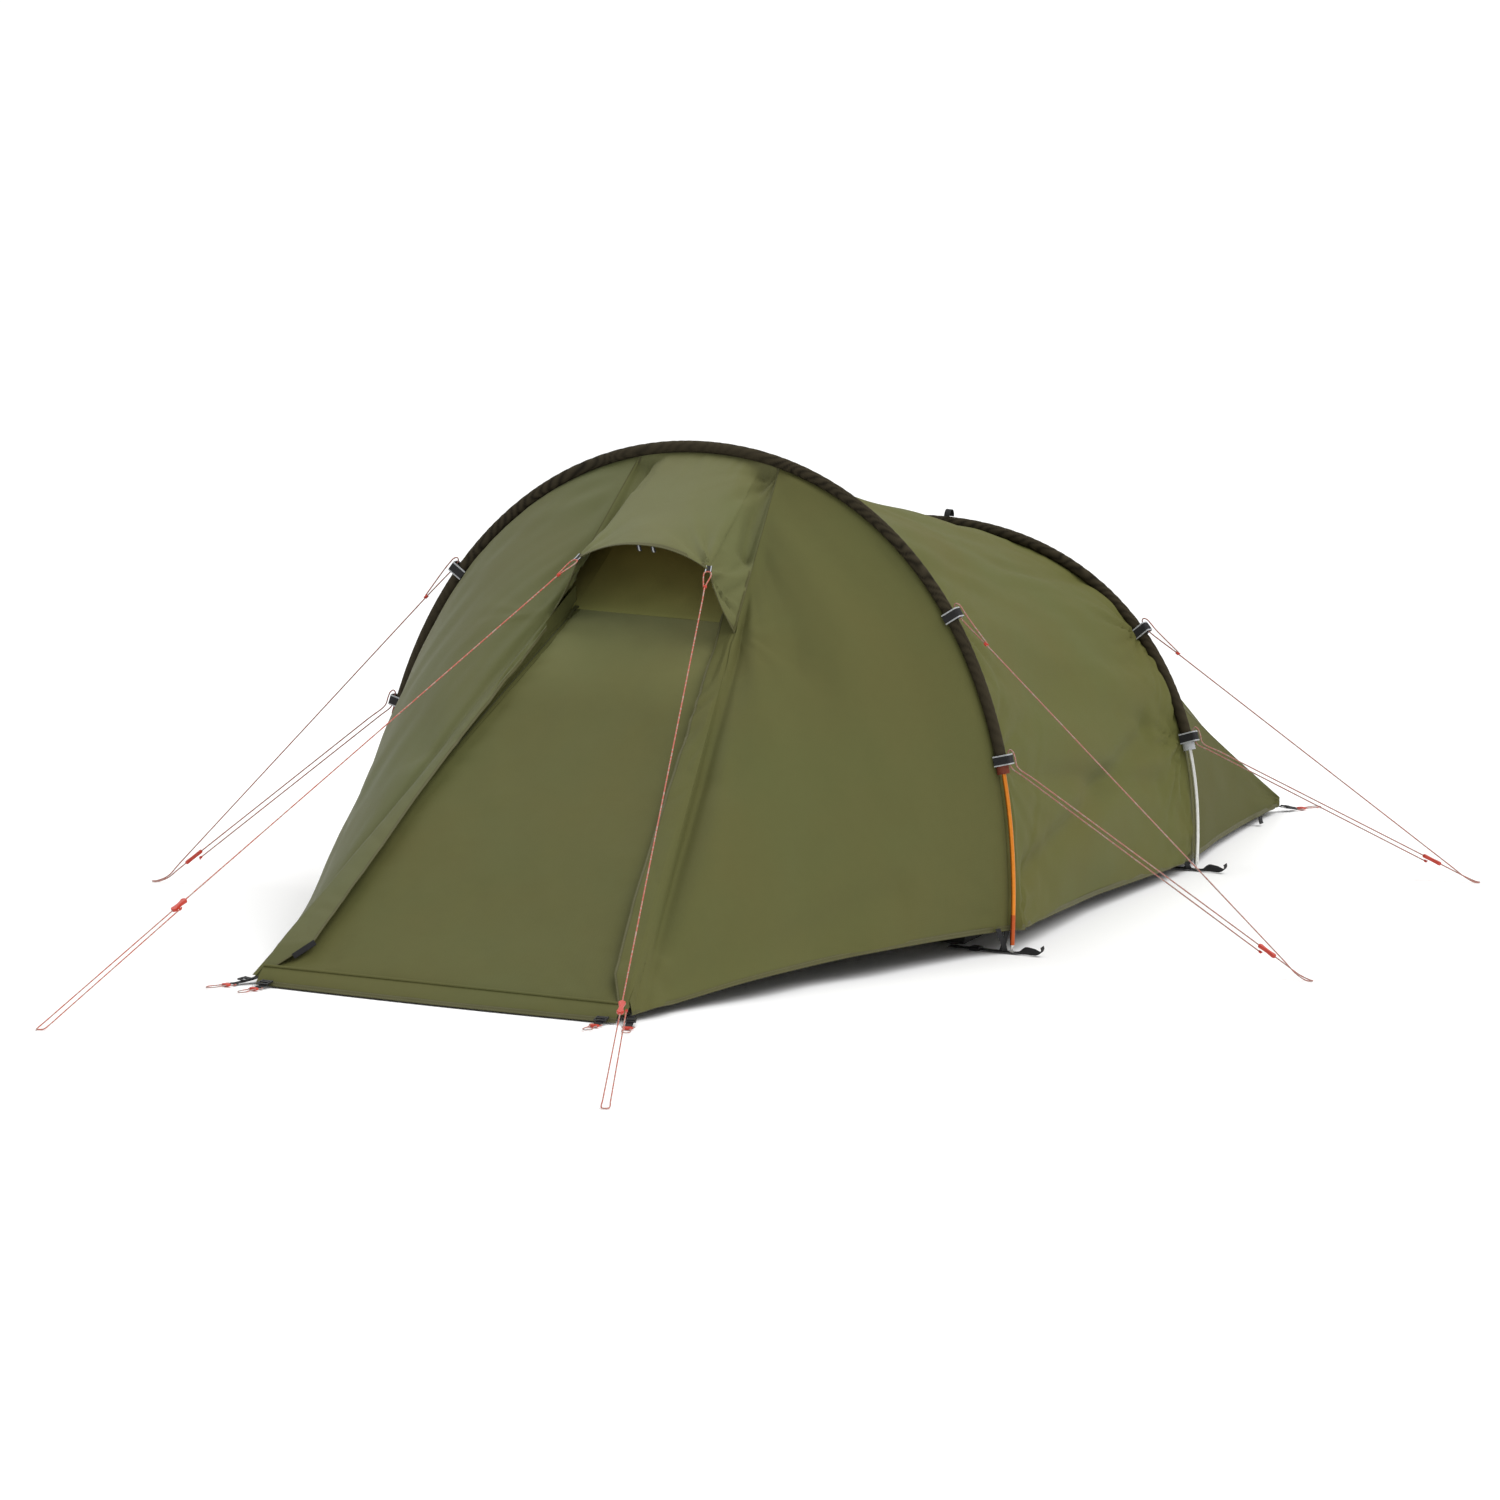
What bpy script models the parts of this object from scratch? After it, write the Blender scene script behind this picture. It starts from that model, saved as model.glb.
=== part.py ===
"""A two-pole tunnel tent, pitched: poles, sleeves, fly panels, inner tent, guy lines and straps.

Metres, +Z up, ground at z = 0. The tent runs along Y: the door and porch are at -Y, the low foot
end is at +Y. +X is the right side seen from the foot end. The origin is on the ground, halfway
along and across the tent. Cloth is drawn as closed shells a little thicker than real cloth.
"""
import math

import bmesh
import bpy
from mathutils import Matrix, Vector

# Driving dimensions of the pitched tent.
FRONT_REACH = 1.32  # front hoop to the tips of the porch tabs
REAR_REACH = 2.20  # front hoop to the tips of the foot-end tabs
FRONT_Y = (FRONT_REACH - REAR_REACH) / 2
HOOP_SPACING = 1.26
REAR_Y = FRONT_Y + HOOP_SPACING

# A hoop is x = half_width * cos(a)**px, z = height * sin(a)**pz, leaning back with height.
FRONT_HOOP = {"half_width": 0.777, "height": 1.05, "px": 0.98, "pz": 0.85, "y": FRONT_Y, "lean": 0.037}
REAR_HOOP = {"half_width": 0.684, "height": 0.74, "px": 0.94, "pz": 0.88, "y": REAR_Y, "lean": 0.081}

POLE_RADIUS = 0.005
POLE_PIN_RADIUS = 0.0025
POLE_PIN_LENGTH = 0.02
SLEEVE_RADIAL = 0.0135  # half height of the sleeve's oval, away from the tent
SLEEVE_ACROSS = 0.011  # half width of the sleeve's oval, along the tent
SLEEVE_BORE = 0.0078
FABRIC = 0.0015  # thickness of every cloth shell
PANEL_INSET = 0.0158  # from the pole's centre line in to the edge of a fly panel
PANEL_SPLIT = 0.004  # half the gap between the panels on the two sides of a hoop
CREST_WAIST = 0.005  # how far the cloth draws in halfway between the hoops, at the top
SIDE_WAIST = 0.019  # and at the sides

# Heights where the straps and seams meet the hoops.
FRONT_LOOPS = {"upper": 0.725, "lower": 0.421}
REAR_LOOPS = {"upper": 0.529, "lower": 0.299}
FRONT_SLEEVE_END = 0.392
REAR_SLEEVE_END = 0.272
FRONT_HEM_Z = 0.050
REAR_HEM_Z = 0.024
HOOD_SEAM_X = 0.174
FOOT_SEAM_Z = 0.405

# Porch: wall corners, the arch under the hood, and the door.
CORNER = Vector((0.440, FRONT_Y - 1.235, 0.014))
ARCH_FOOT = Vector((0.222, FRONT_Y - 0.290, 0.695))
ARCH_TOP_Z = 0.872
ARCH_TOP_Y = FRONT_Y - 0.300
ARCH_POWER = 2.25
DOOR_HINGE_Y = FRONT_Y - 1.265
DOOR_HINGE_Z = 0.020
DOOR_TOP_Y = FRONT_Y - 0.205
DOOR_TOP_Z = 0.715
DOOR_BOTTOM_HALF = 0.430
DOOR_TOP_HALF = 0.189
ZIP_TAPE = 0.009
ZIP_TAPE_GAP = 0.002
DOOR_TAB_X = 0.395
VENT_TOP = Vector((0.135, FRONT_Y - 0.050, 0.930))

# Foot end.
FOOT_CORNER = Vector((0.520, FRONT_Y + 2.155, 0.014))
FOOT_EDGE = 0.020  # short upright edge where the side panel meets the corner
FOOT_HEM_CURVE = 0.035

# Inner tent and its tub floor, from the front wall to the foot.
INNER_FRONT_Y = FRONT_Y + 0.045
INNER_REAR_Y = FRONT_Y + 1.960
INNER_FLOOR_FRONT = 0.640
INNER_FLOOR_REAR = 0.450
TUB_HEIGHT = 0.080
INNER_START_Z = 0.086

# Straps, cords and fittings.
WEB_WIDTH = 0.020
WEB_THICK = 0.0016
CORD_RADIUS = 0.0015
PEG_CORD_RADIUS = 0.00125
BAND_HALF = 0.012  # half the webbing loop's width along the hoop
BAND_INNER = 0.0235  # from the pole's centre line out to the loop's inner face
SLIDER_LENGTH = 0.046
SLIDER_BULB = 0.008
SLIDER_WAIST = 0.0045
SLIDER_THICK = 0.0075
SLIDER_BORE = 0.0025

# Where the guy lines reach the ground, and how far each slider sits from its peg.
GUYS = {
    "front_right": {"hoop": FRONT_HOOP, "loops": FRONT_LOOPS, "side": 1, "peg": (1.472, FRONT_Y + 0.038), "slider": 0.123},
    "front_left": {"hoop": FRONT_HOOP, "loops": FRONT_LOOPS, "side": -1, "peg": (-1.226, FRONT_Y - 0.216), "slider": 0.110},
    "rear_right": {"hoop": REAR_HOOP, "loops": REAR_LOOPS, "side": 1, "peg": (1.297, FRONT_Y + 1.468), "slider": 0.120},
    "rear_left": {"hoop": REAR_HOOP, "loops": REAR_LOOPS, "side": -1, "peg": (-1.240, FRONT_Y + 1.420), "slider": 0.120},
}
AWNING_GUYS = {
    "right": {"side": 1, "peg": (0.827, FRONT_Y - 2.179), "slider": 0.385},
    "left": {"side": -1, "peg": (-0.563, FRONT_Y - 2.015), "slider": 0.500},
}
AWNING_CORNER = Vector((0.157, FRONT_Y - 0.293, 0.830))

COLOURS = {  # base colour, roughness, metallic
    "fly_fabric": ((0.105, 0.110, 0.048), 0.55, 0.0),
    "sleeve_fabric": ((0.038, 0.032, 0.022), 0.75, 0.0),
    "inner_fabric": ((0.50, 0.46, 0.36), 0.80, 0.0),
    "floor_fabric": ((0.045, 0.045, 0.045), 0.60, 0.0),
    "webbing": ((0.012, 0.012, 0.013), 0.80, 0.0),
    "cord": ((0.45, 0.10, 0.06), 0.75, 0.0),
    "red_plastic": ((0.42, 0.035, 0.02), 0.40, 0.0),
    "black_plastic": ((0.015, 0.015, 0.016), 0.45, 0.0),
    "front_pole_metal": ((0.60, 0.20, 0.03), 0.30, 0.9),
    "rear_pole_metal": ((0.62, 0.63, 0.60), 0.30, 0.9),
    "zip": ((0.05, 0.05, 0.045), 0.50, 0.2),
}
SIDES = (("right", 1), ("left", -1))


def clear_scene():
    for obj in list(bpy.data.objects):
        bpy.data.objects.remove(obj, do_unlink=True)


def material(name):
    found = bpy.data.materials.get(name)
    if found:
        return found
    colour, roughness, metallic = COLOURS[name]
    made = bpy.data.materials.new(name)
    made.use_nodes = True
    shader = made.node_tree.nodes["Principled BSDF"]
    shader.inputs["Base Color"].default_value = (*colour, 1.0)
    shader.inputs["Roughness"].default_value = roughness
    shader.inputs["Metallic"].default_value = metallic
    return made


def add_mesh(name, slot, verts, faces, smooth=True):
    """A closed mesh object with outward faces."""
    mesh = bpy.data.meshes.new(name)
    mesh.from_pydata([tuple(v) for v in verts], [], faces)
    edit = bmesh.new()
    edit.from_mesh(mesh)
    bmesh.ops.recalc_face_normals(edit, faces=edit.faces)
    edit.to_mesh(mesh)
    edit.free()
    mesh.materials.append(material(slot))
    if smooth:
        mesh.shade_smooth()
        mesh.set_sharp_from_angle(angle=math.radians(40))
    obj = bpy.data.objects.new(name, mesh)
    bpy.context.scene.collection.objects.link(obj)
    return obj


def grid_normal(rows, i, j):
    """The surface normal of a grid of points at row i, column j."""
    above = rows[min(i + 1, len(rows) - 1)][j]
    below = rows[max(i - 1, 0)][j]
    after = rows[i][min(j + 1, len(rows[i]) - 1)]
    before = rows[i][max(j - 1, 0)]
    return (above - below).cross(after - before).normalized()


def shell(name, slot, rows, thickness=FABRIC):
    """Cloth: a grid of points thickened both ways into one closed body.

    Both skins are split along the same diagonals, so they stay parallel where the cloth twists.
    """
    height, width = len(rows), len(rows[0])
    half = thickness / 2
    verts = []
    for sign in (1, -1):
        for i in range(height):
            for j in range(width):
                verts.append(rows[i][j] + grid_normal(rows, i, j) * half * sign)
    back = height * width

    def at(i, j):
        return i * width + j

    faces = []
    for i in range(height - 1):
        for j in range(width - 1):
            corners = (at(i, j), at(i, j + 1), at(i + 1, j + 1), at(i + 1, j))
            for triangle in ((0, 1, 2), (0, 2, 3)):
                face = [corners[k] for k in triangle]
                faces.append(face)
                faces.append([back + k for k in reversed(face)])
    rim = [at(0, j) for j in range(width)]
    rim += [at(i, width - 1) for i in range(1, height)]
    rim += [at(height - 1, j) for j in range(width - 2, -1, -1)]
    rim += [at(i, 0) for i in range(height - 2, 0, -1)]
    for k, here in enumerate(rim):
        there = rim[(k + 1) % len(rim)]
        faces.append([here, back + here, back + there, there])
    return add_mesh(name, slot, verts, faces)


def prism(name, slot, outline, centre, axes, low, high):
    """An outline in two axes, drawn out along the third from low to high."""
    across, up, along = axes
    verts = []
    for depth in (low, high):
        for a, b in outline:
            verts.append(centre + across * a + up * b + along * depth)
    count = len(outline)
    faces = [list(range(count)), [count + k for k in reversed(range(count))]]
    for k in range(count):
        after = (k + 1) % count
        faces.append([k, count + k, count + after, after])
    return add_mesh(name, slot, verts, faces)


def cut(obj, cutter_name, verts, faces):
    """Take a hidden closed cutter out of an object."""
    cutter = add_mesh(cutter_name, "black_plastic", verts, faces, smooth=False)
    cutter.hide_render = True
    cutter.display_type = "WIRE"
    modifier = obj.modifiers.new("cut", "BOOLEAN")
    modifier.operation = "DIFFERENCE"
    modifier.solver = "EXACT"
    modifier.object = cutter


def rod_mesh(start, end, radius, sides=8):
    """Vertices and faces of a round rod."""
    axis = (end - start).normalized()
    side = axis.orthogonal().normalized()
    other = axis.cross(side)
    verts = []
    for point in (start, end):
        for k in range(sides):
            turn = 2 * math.pi * k / sides
            verts.append(point + side * (radius * math.cos(turn)) + other * (radius * math.sin(turn)))
    faces = [list(range(sides)), [sides + k for k in reversed(range(sides))]]
    for k in range(sides):
        after = (k + 1) % sides
        faces.append([k, sides + k, sides + after, after])
    return verts, faces


def tube(name, slot, points, radius, resolution=2, scales=None):
    """A round tube along points, with filled ends. scales thins it point by point."""
    curve = bpy.data.curves.new(name, "CURVE")
    curve.dimensions = "3D"
    curve.bevel_depth = radius
    curve.bevel_resolution = resolution
    curve.use_fill_caps = True
    spline = curve.splines.new("POLY")
    spline.points.add(len(points) - 1)
    for k, point in enumerate(points):
        spline.points[k].co = (*point, 1.0)
        spline.points[k].radius = scales[k] if scales else 1.0
    curve.materials.append(material(slot))
    obj = bpy.data.objects.new(name, curve)
    bpy.context.scene.collection.objects.link(obj)
    return obj


def smooth_route(route, steps):
    """Points read from a smooth curve (centripetal Catmull-Rom) through the route's own points."""
    ends = [route[0] * 2 - route[1], *route, route[-1] * 2 - route[-2]]
    out = []
    for k in range(1, len(ends) - 2):
        p0, p1, p2, p3 = ends[k - 1:k + 3]
        t1 = (p1 - p0).length ** 0.5
        t2 = t1 + (p2 - p1).length ** 0.5
        t3 = t2 + (p3 - p2).length ** 0.5
        for step in range(steps):
            t = t1 + (t2 - t1) * step / steps
            a1 = p0 * ((t1 - t) / t1) + p1 * (t / t1)
            a2 = p1 * ((t2 - t) / (t2 - t1)) + p2 * ((t - t1) / (t2 - t1))
            a3 = p2 * ((t3 - t) / (t3 - t2)) + p3 * ((t - t2) / (t3 - t2))
            b1 = a1 * ((t2 - t) / t2) + a2 * (t / t2)
            b2 = a2 * ((t3 - t) / (t3 - t1)) + a3 * ((t - t1) / (t3 - t1))
            out.append(b1 * ((t2 - t) / (t2 - t1)) + b2 * ((t - t1) / (t2 - t1)))
    return out + [route[-1]]


def mirrored(point, side):
    return Vector((point.x * side, point.y, point.z))


# Hoops


def hoop_point(hoop, angle):
    """The pole's centre line: angle 0 is the right foot, pi / 2 the top, pi the left foot."""
    cosine, sine = math.cos(angle), max(math.sin(angle), 0.0)
    x = math.copysign(hoop["half_width"] * abs(cosine) ** hoop["px"], cosine)
    z = hoop["height"] * sine ** hoop["pz"]
    return Vector((x, hoop["y"] + hoop["lean"] * z, z))


def hoop_frame(hoop, angle):
    """Centre point, outward direction and upward direction along the pole, on its right half."""
    small = 1e-3
    along = (hoop_point(hoop, angle + small) - hoop_point(hoop, max(angle - small, 0.0))).normalized()
    across = Vector((0.0, 1.0, -hoop["lean"])).normalized()
    outward = across.cross(along).normalized()
    if outward.dot(Vector((math.cos(angle), 0.0, 1.0))) < 0:
        outward.negate()
    return hoop_point(hoop, angle), outward, along, across


def angle_at_height(hoop, z):
    return math.asin((z / hoop["height"]) ** (1 / hoop["pz"]))


def angle_at_x(hoop, x):
    return math.acos((x / hoop["half_width"]) ** (1 / hoop["px"]))


def seam_point(hoop, angle, shift):
    """Where a fly panel meets the hoop: inside the sleeve, shift along the tent."""
    centre, outward, _, across = hoop_frame(hoop, angle)
    return centre - outward * PANEL_INSET + across * shift


def between(first, last, count):
    return [first + (last - first) * k / (count - 1) for k in range(count)]


def make_pole(name, slot, hoop, count=37):
    """One bent pole, foot to foot, with a thinner pin at each end."""
    points = [hoop_point(hoop, angle) for angle in between(0.0, math.pi, count)]
    pin = POLE_PIN_RADIUS / POLE_RADIUS
    shoulder = Vector((0.0, 0.0, POLE_PIN_LENGTH))
    near = [points[0], points[0] + shoulder * 0.96, points[0] + shoulder]
    far = [points[-1] + shoulder, points[-1] + shoulder * 0.96, points[-1]]
    path = near + points[1:-1] + far
    scales = [pin, pin, 1.0] + [1.0] * (count - 2) + [1.0, pin, pin]
    tube(name, slot, path, POLE_RADIUS, resolution=1, scales=scales)


def make_sleeve(name, hoop, end_z, stations=25, sides=8):
    """An oval cloth tube round the pole, open at both ends."""
    start = angle_at_height(hoop, end_z)
    verts = []
    for angle in between(start, math.pi - start, stations):
        centre, outward, _, across = hoop_frame(hoop, angle)
        for radial, wide in ((SLEEVE_RADIAL, SLEEVE_ACROSS), (SLEEVE_BORE, SLEEVE_BORE)):
            for k in range(sides):
                turn = 2 * math.pi * k / sides
                verts.append(centre + outward * (radial * math.cos(turn)) + across * (wide * math.sin(turn)))
    ring = 2 * sides
    faces = []
    for s in range(stations - 1):
        for k in range(sides):
            after = (k + 1) % sides
            for layer in (0, sides):
                a, b = s * ring + layer + k, s * ring + layer + after
                quad = [a, b, b + ring, a + ring]
                faces.append(quad if layer == 0 else quad[::-1])
    for s in (0, stations - 1):
        for k in range(sides):
            after = (k + 1) % sides
            base = s * ring
            quad = [base + k, base + sides + k, base + sides + after, base + after]
            faces.append(quad if s == 0 else quad[::-1])
    add_mesh(name, "sleeve_fabric", verts, faces)


# Fly panels


def sag(point, centre, depth, u, v):
    """Pull a point towards a centre line, most in the middle of the panel."""
    amount = depth * math.sin(math.pi * u) ** 0.7 * math.sin(math.pi * v)
    away = point - centre
    return point - away.normalized() * amount


def make_porch_walls(rows=13, columns=8):
    """Side walls of the porch: from the front hoop to the free edge beside the door."""
    low = angle_at_height(FRONT_HOOP, FRONT_HEM_Z)
    high = angle_at_x(FRONT_HOOP, HOOD_SEAM_X)
    for label, side in SIDES:
        grid = []
        for i in range(rows):
            u = i / (rows - 1)
            hoop_side = seam_point(FRONT_HOOP, low + (high - low) * u, -PANEL_SPLIT)
            free_side = CORNER.lerp(ARCH_FOOT, u)
            row = []
            for j in range(columns):
                v = j / (columns - 1)
                point = hoop_side.lerp(free_side, v)
                lift = 0.020 * (1 - u) ** 6 * math.sin(math.pi * v)
                point = sag(point, Vector((0.0, point.y, 0.25)), 0.022, u, v)
                row.append(mirrored(point + Vector((0, 0, lift)), side))
            grid.append(row)
        shell(f"porch_wall_{label}", "fly_fabric", grid)


def arch_point(turn):
    """The hood's front edge: an arch from the right foot (0) over the top to the left foot (pi)."""
    power = 2 / ARCH_POWER
    cosine, sine = math.cos(turn), max(math.sin(turn), 0.0)
    x = math.copysign(ARCH_FOOT.x * abs(cosine) ** power, cosine)
    rise = sine ** power
    y = ARCH_FOOT.y + (ARCH_TOP_Y - ARCH_FOOT.y) * rise
    return Vector((x, y, ARCH_FOOT.z + (ARCH_TOP_Z - ARCH_FOOT.z) * rise))


def make_hood(columns=15, rows=5):
    """The vent hood: from the top of the front hoop out to its arched front edge."""
    start = angle_at_x(FRONT_HOOP, HOOD_SEAM_X)
    seam_gap = 0.004
    grid = []
    for i in range(rows):
        v = i / (rows - 1)
        row = []
        for j in range(columns):
            u = j / (columns - 1)
            back = seam_point(FRONT_HOOP, start + (math.pi - 2 * start) * u, -PANEL_SPLIT)
            point = back.lerp(arch_point(math.pi * u), v)
            inward = seam_gap * (1 - 2 * u)
            row.append(point - Vector((inward, 0, 0)))
        grid.append(row)
    shell("vent_hood", "fly_fabric", grid)


def door_plane(x, share):
    """A point on the door's plane: share 0 at the hinge line, 1 at the door's top edge."""
    y = DOOR_HINGE_Y + (DOOR_TOP_Y - DOOR_HINGE_Y) * share
    z = DOOR_HINGE_Z + (DOOR_TOP_Z - DOOR_HINGE_Z) * share
    return Vector((x, y, z))


def door_half(share):
    return DOOR_BOTTOM_HALF + (DOOR_TOP_HALF - DOOR_BOTTOM_HALF) * share


def make_door(rows=5, columns=5):
    """The door panel and, on each side, the tape that carries its zip."""
    grid = []
    for i in range(rows):
        share = i / (rows - 1)
        half = door_half(share)
        grid.append([door_plane(x, share) for x in between(-half, half, columns)])
    shell("door_panel", "fly_fabric", grid)
    for label, side in SIDES:
        grid = []
        for i in range(rows):
            share = i / (rows - 1)
            inner = door_half(share) + ZIP_TAPE_GAP
            outer = inner + ZIP_TAPE
            grid.append([door_plane(side * x, share) for x in (inner, outer)])
        shell(f"zip_tape_{label}", "fly_fabric", grid)


def make_vent_panel(rows=3, columns=5):
    """The fixed panel above the door, in under the hood."""
    seam_gap = 0.003
    bottom = door_plane(0, 1) + Vector((0, seam_gap, seam_gap))
    bottom_half = DOOR_TOP_HALF + ZIP_TAPE
    grid = []
    for i in range(rows):
        share = i / (rows - 1)
        half = bottom_half + (VENT_TOP.x - bottom_half) * share
        middle = bottom.lerp(Vector((0, VENT_TOP.y, VENT_TOP.z)), share)
        grid.append([middle + Vector((x, 0, 0)) for x in between(-half, half, columns)])
    shell("vent_panel", "fly_fabric", grid)


def make_tunnel(columns=25, rows=7):
    """The panel over the two hoops, drawn in between them by its tension."""
    front_low = angle_at_height(FRONT_HOOP, FRONT_HEM_Z)
    rear_low = angle_at_height(REAR_HOOP, REAR_HEM_Z)
    grid = []
    for i in range(rows):
        v = i / (rows - 1)
        row = []
        for j in range(columns):
            u = j / (columns - 1)
            front = seam_point(FRONT_HOOP, front_low + (math.pi - 2 * front_low) * u, PANEL_SPLIT)
            rear = seam_point(REAR_HOOP, rear_low + (math.pi - 2 * rear_low) * u, -PANEL_SPLIT)
            point = front.lerp(rear, v)
            away = Vector((point.x, 0.0, point.z - 0.2)).normalized()
            waist = CREST_WAIST * math.sin(math.pi * u) + SIDE_WAIST * math.sin(2 * math.pi * u) ** 2
            row.append(point - away * (waist * math.sin(math.pi * v)))
        grid.append(row)
    shell("tunnel_canopy", "fly_fabric", grid)


def make_foot_end(side_rows=6, side_columns=7, roof_columns=17, roof_rows=7):
    """The low end: two side panels and the sloping roof panel between them."""
    low = angle_at_height(REAR_HOOP, REAR_HEM_Z)
    high = angle_at_height(REAR_HOOP, FOOT_SEAM_Z)
    edge = FOOT_CORNER + Vector((0, 0, FOOT_EDGE))
    for label, side in SIDES:
        grid = []
        for i in range(side_rows):
            u = i / (side_rows - 1)
            hoop_side = seam_point(REAR_HOOP, low + (high - low) * u, PANEL_SPLIT)
            corner_side = FOOT_CORNER.lerp(edge, u)
            row = []
            for j in range(side_columns):
                v = j / (side_columns - 1)
                point = hoop_side.lerp(corner_side, v)
                row.append(mirrored(point - Vector((0.012 * math.sin(math.pi * v), 0, 0)), side))
            grid.append(row)
        shell(f"foot_side_{label}", "fly_fabric", grid)
    gap = 0.004
    grid = []
    for i in range(roof_rows):
        v = i / (roof_rows - 1)
        row = []
        for j in range(roof_columns):
            u = j / (roof_columns - 1)
            hoop_side = seam_point(REAR_HOOP, high + 0.012 + (math.pi - 2 * high - 0.024) * u, PANEL_SPLIT)
            hem = Vector((FOOT_CORNER.x * (1 - 2 * u), FOOT_CORNER.y, edge.z + gap))
            hem.y -= FOOT_HEM_CURVE * math.sin(math.pi * u)
            hem.z -= (FOOT_EDGE + gap) * math.sin(math.pi * u) ** 0.5
            point = hoop_side.lerp(hem, v)
            dip = 0.016 * math.sin(math.pi * v) * (0.25 + 0.75 * math.sin(math.pi * u))
            row.append(point - Vector((0.0, 0.6, 0.8)) * dip)
        grid.append(row)
    shell("foot_roof", "fly_fabric", grid)


# Inner tent


def inner_section(y):
    """Half width and height of the inner tent at a distance along it."""
    stations = (
        (INNER_FRONT_Y, 0.655, 0.950),
        (REAR_Y, 0.575, 0.640),
        (INNER_REAR_Y - 0.060, 0.455, 0.105),
        (INNER_REAR_Y, 0.440, 0.092),
    )
    for (y0, w0, h0), (y1, w1, h1) in zip(stations, stations[1:]):
        if y <= y1:
            share = (y - y0) / (y1 - y0)
            return w0 + (w1 - w0) * share, h0 + (h1 - h0) * share
    return stations[-1][1:]


def inner_arch(y, half_width, height, columns):
    """An open arch of cloth standing on the tub wall."""
    out = []
    for j in range(columns):
        turn = math.pi * j / (columns - 1)
        x = math.copysign(half_width * abs(math.cos(turn)) ** 0.9, math.cos(turn))
        z = INNER_START_Z + (height - INNER_START_Z) * max(math.sin(turn), 0.0) ** 0.85
        out.append(Vector((x, y, z)))
    return out


def make_inner_tent(columns=17):
    """The hung inner tent, with a doorway in its front wall and a closed foot."""
    doorway_half, doorway_height = 0.46, 0.72
    rows = [inner_arch(INNER_FRONT_Y, doorway_half, doorway_height, columns)]
    for y in (
        INNER_FRONT_Y,
        INNER_FRONT_Y + 0.42,
        INNER_FRONT_Y + 0.84,
        REAR_Y,
        REAR_Y + 0.35,
        INNER_REAR_Y - 0.060,
        INNER_REAR_Y,
    ):
        half_width, height = inner_section(y)
        rows.append(inner_arch(y, half_width, height, columns))
    shell("inner_tent", "inner_fabric", rows)


def make_tub_floor():
    """The waterproof floor, turned up all round."""
    lean = 0.010
    inside = 0.0020
    bottom = [
        (INNER_FLOOR_FRONT, INNER_FRONT_Y + 0.004),
        (-INNER_FLOOR_FRONT, INNER_FRONT_Y + 0.004),
        (-INNER_FLOOR_REAR, INNER_REAR_Y - 0.014),
        (INNER_FLOOR_REAR, INNER_REAR_Y - 0.014),
    ]
    middle_y = (INNER_FRONT_Y + INNER_REAR_Y) / 2

    def ring(grow, z):
        out = []
        for x, y in bottom:
            out.append(Vector((x + math.copysign(grow, x), y + math.copysign(min(grow, 0.004), y - middle_y), z)))
        return out

    rings = [
        ring(0.0, 0.0),
        ring(lean, TUB_HEIGHT),
        [p - Vector((math.copysign(inside, p.x), math.copysign(inside, p.y - middle_y), 0)) for p in ring(lean, TUB_HEIGHT)],
        [p - Vector((math.copysign(inside, p.x), math.copysign(inside, p.y - middle_y), 0)) for p in ring(0.0, inside)],
    ]
    verts = [p for one in rings for p in one]
    faces = [[0, 1, 2, 3], [15, 14, 13, 12]]
    for r in range(3):
        for k in range(4):
            after = (k + 1) % 4
            faces.append([r * 4 + k, r * 4 + after, r * 4 + 4 + after, r * 4 + 4 + k])
    add_mesh("tub_floor", "floor_fabric", verts, faces, smooth=False)


# Webbing and fittings


def make_guy_loops():
    """Webbing bands over the sleeves that the guy lines run through."""
    leg, wall, corner = 0.0145, 0.0015, 0.004
    inner_end = -0.0125
    outer = [
        (inner_end, -leg), (BAND_INNER + wall - corner, -leg), (BAND_INNER + wall, -leg + corner),
        (BAND_INNER + wall, leg - corner), (BAND_INNER + wall - corner, leg), (inner_end, leg),
    ]
    leg -= wall
    inner = [
        (inner_end, leg), (BAND_INNER - corner, leg), (BAND_INNER, leg - corner),
        (BAND_INNER, -leg + corner), (BAND_INNER - corner, -leg), (inner_end, -leg),
    ]
    for place, hoop, heights in (("front", FRONT_HOOP, FRONT_LOOPS), ("rear", REAR_HOOP, REAR_LOOPS)):
        for level, z in heights.items():
            angle = angle_at_height(hoop, z)
            for label, side in SIDES:
                centre, outward, along, across = hoop_frame(hoop, angle)
                centre = mirrored(centre, side)
                axes = (mirrored(outward, side), mirrored(across, side), mirrored(along, side))
                prism(f"guy_loop_{place}_{level}_{label}", "webbing", outer + inner, centre, axes, -BAND_HALF, BAND_HALF)


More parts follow.
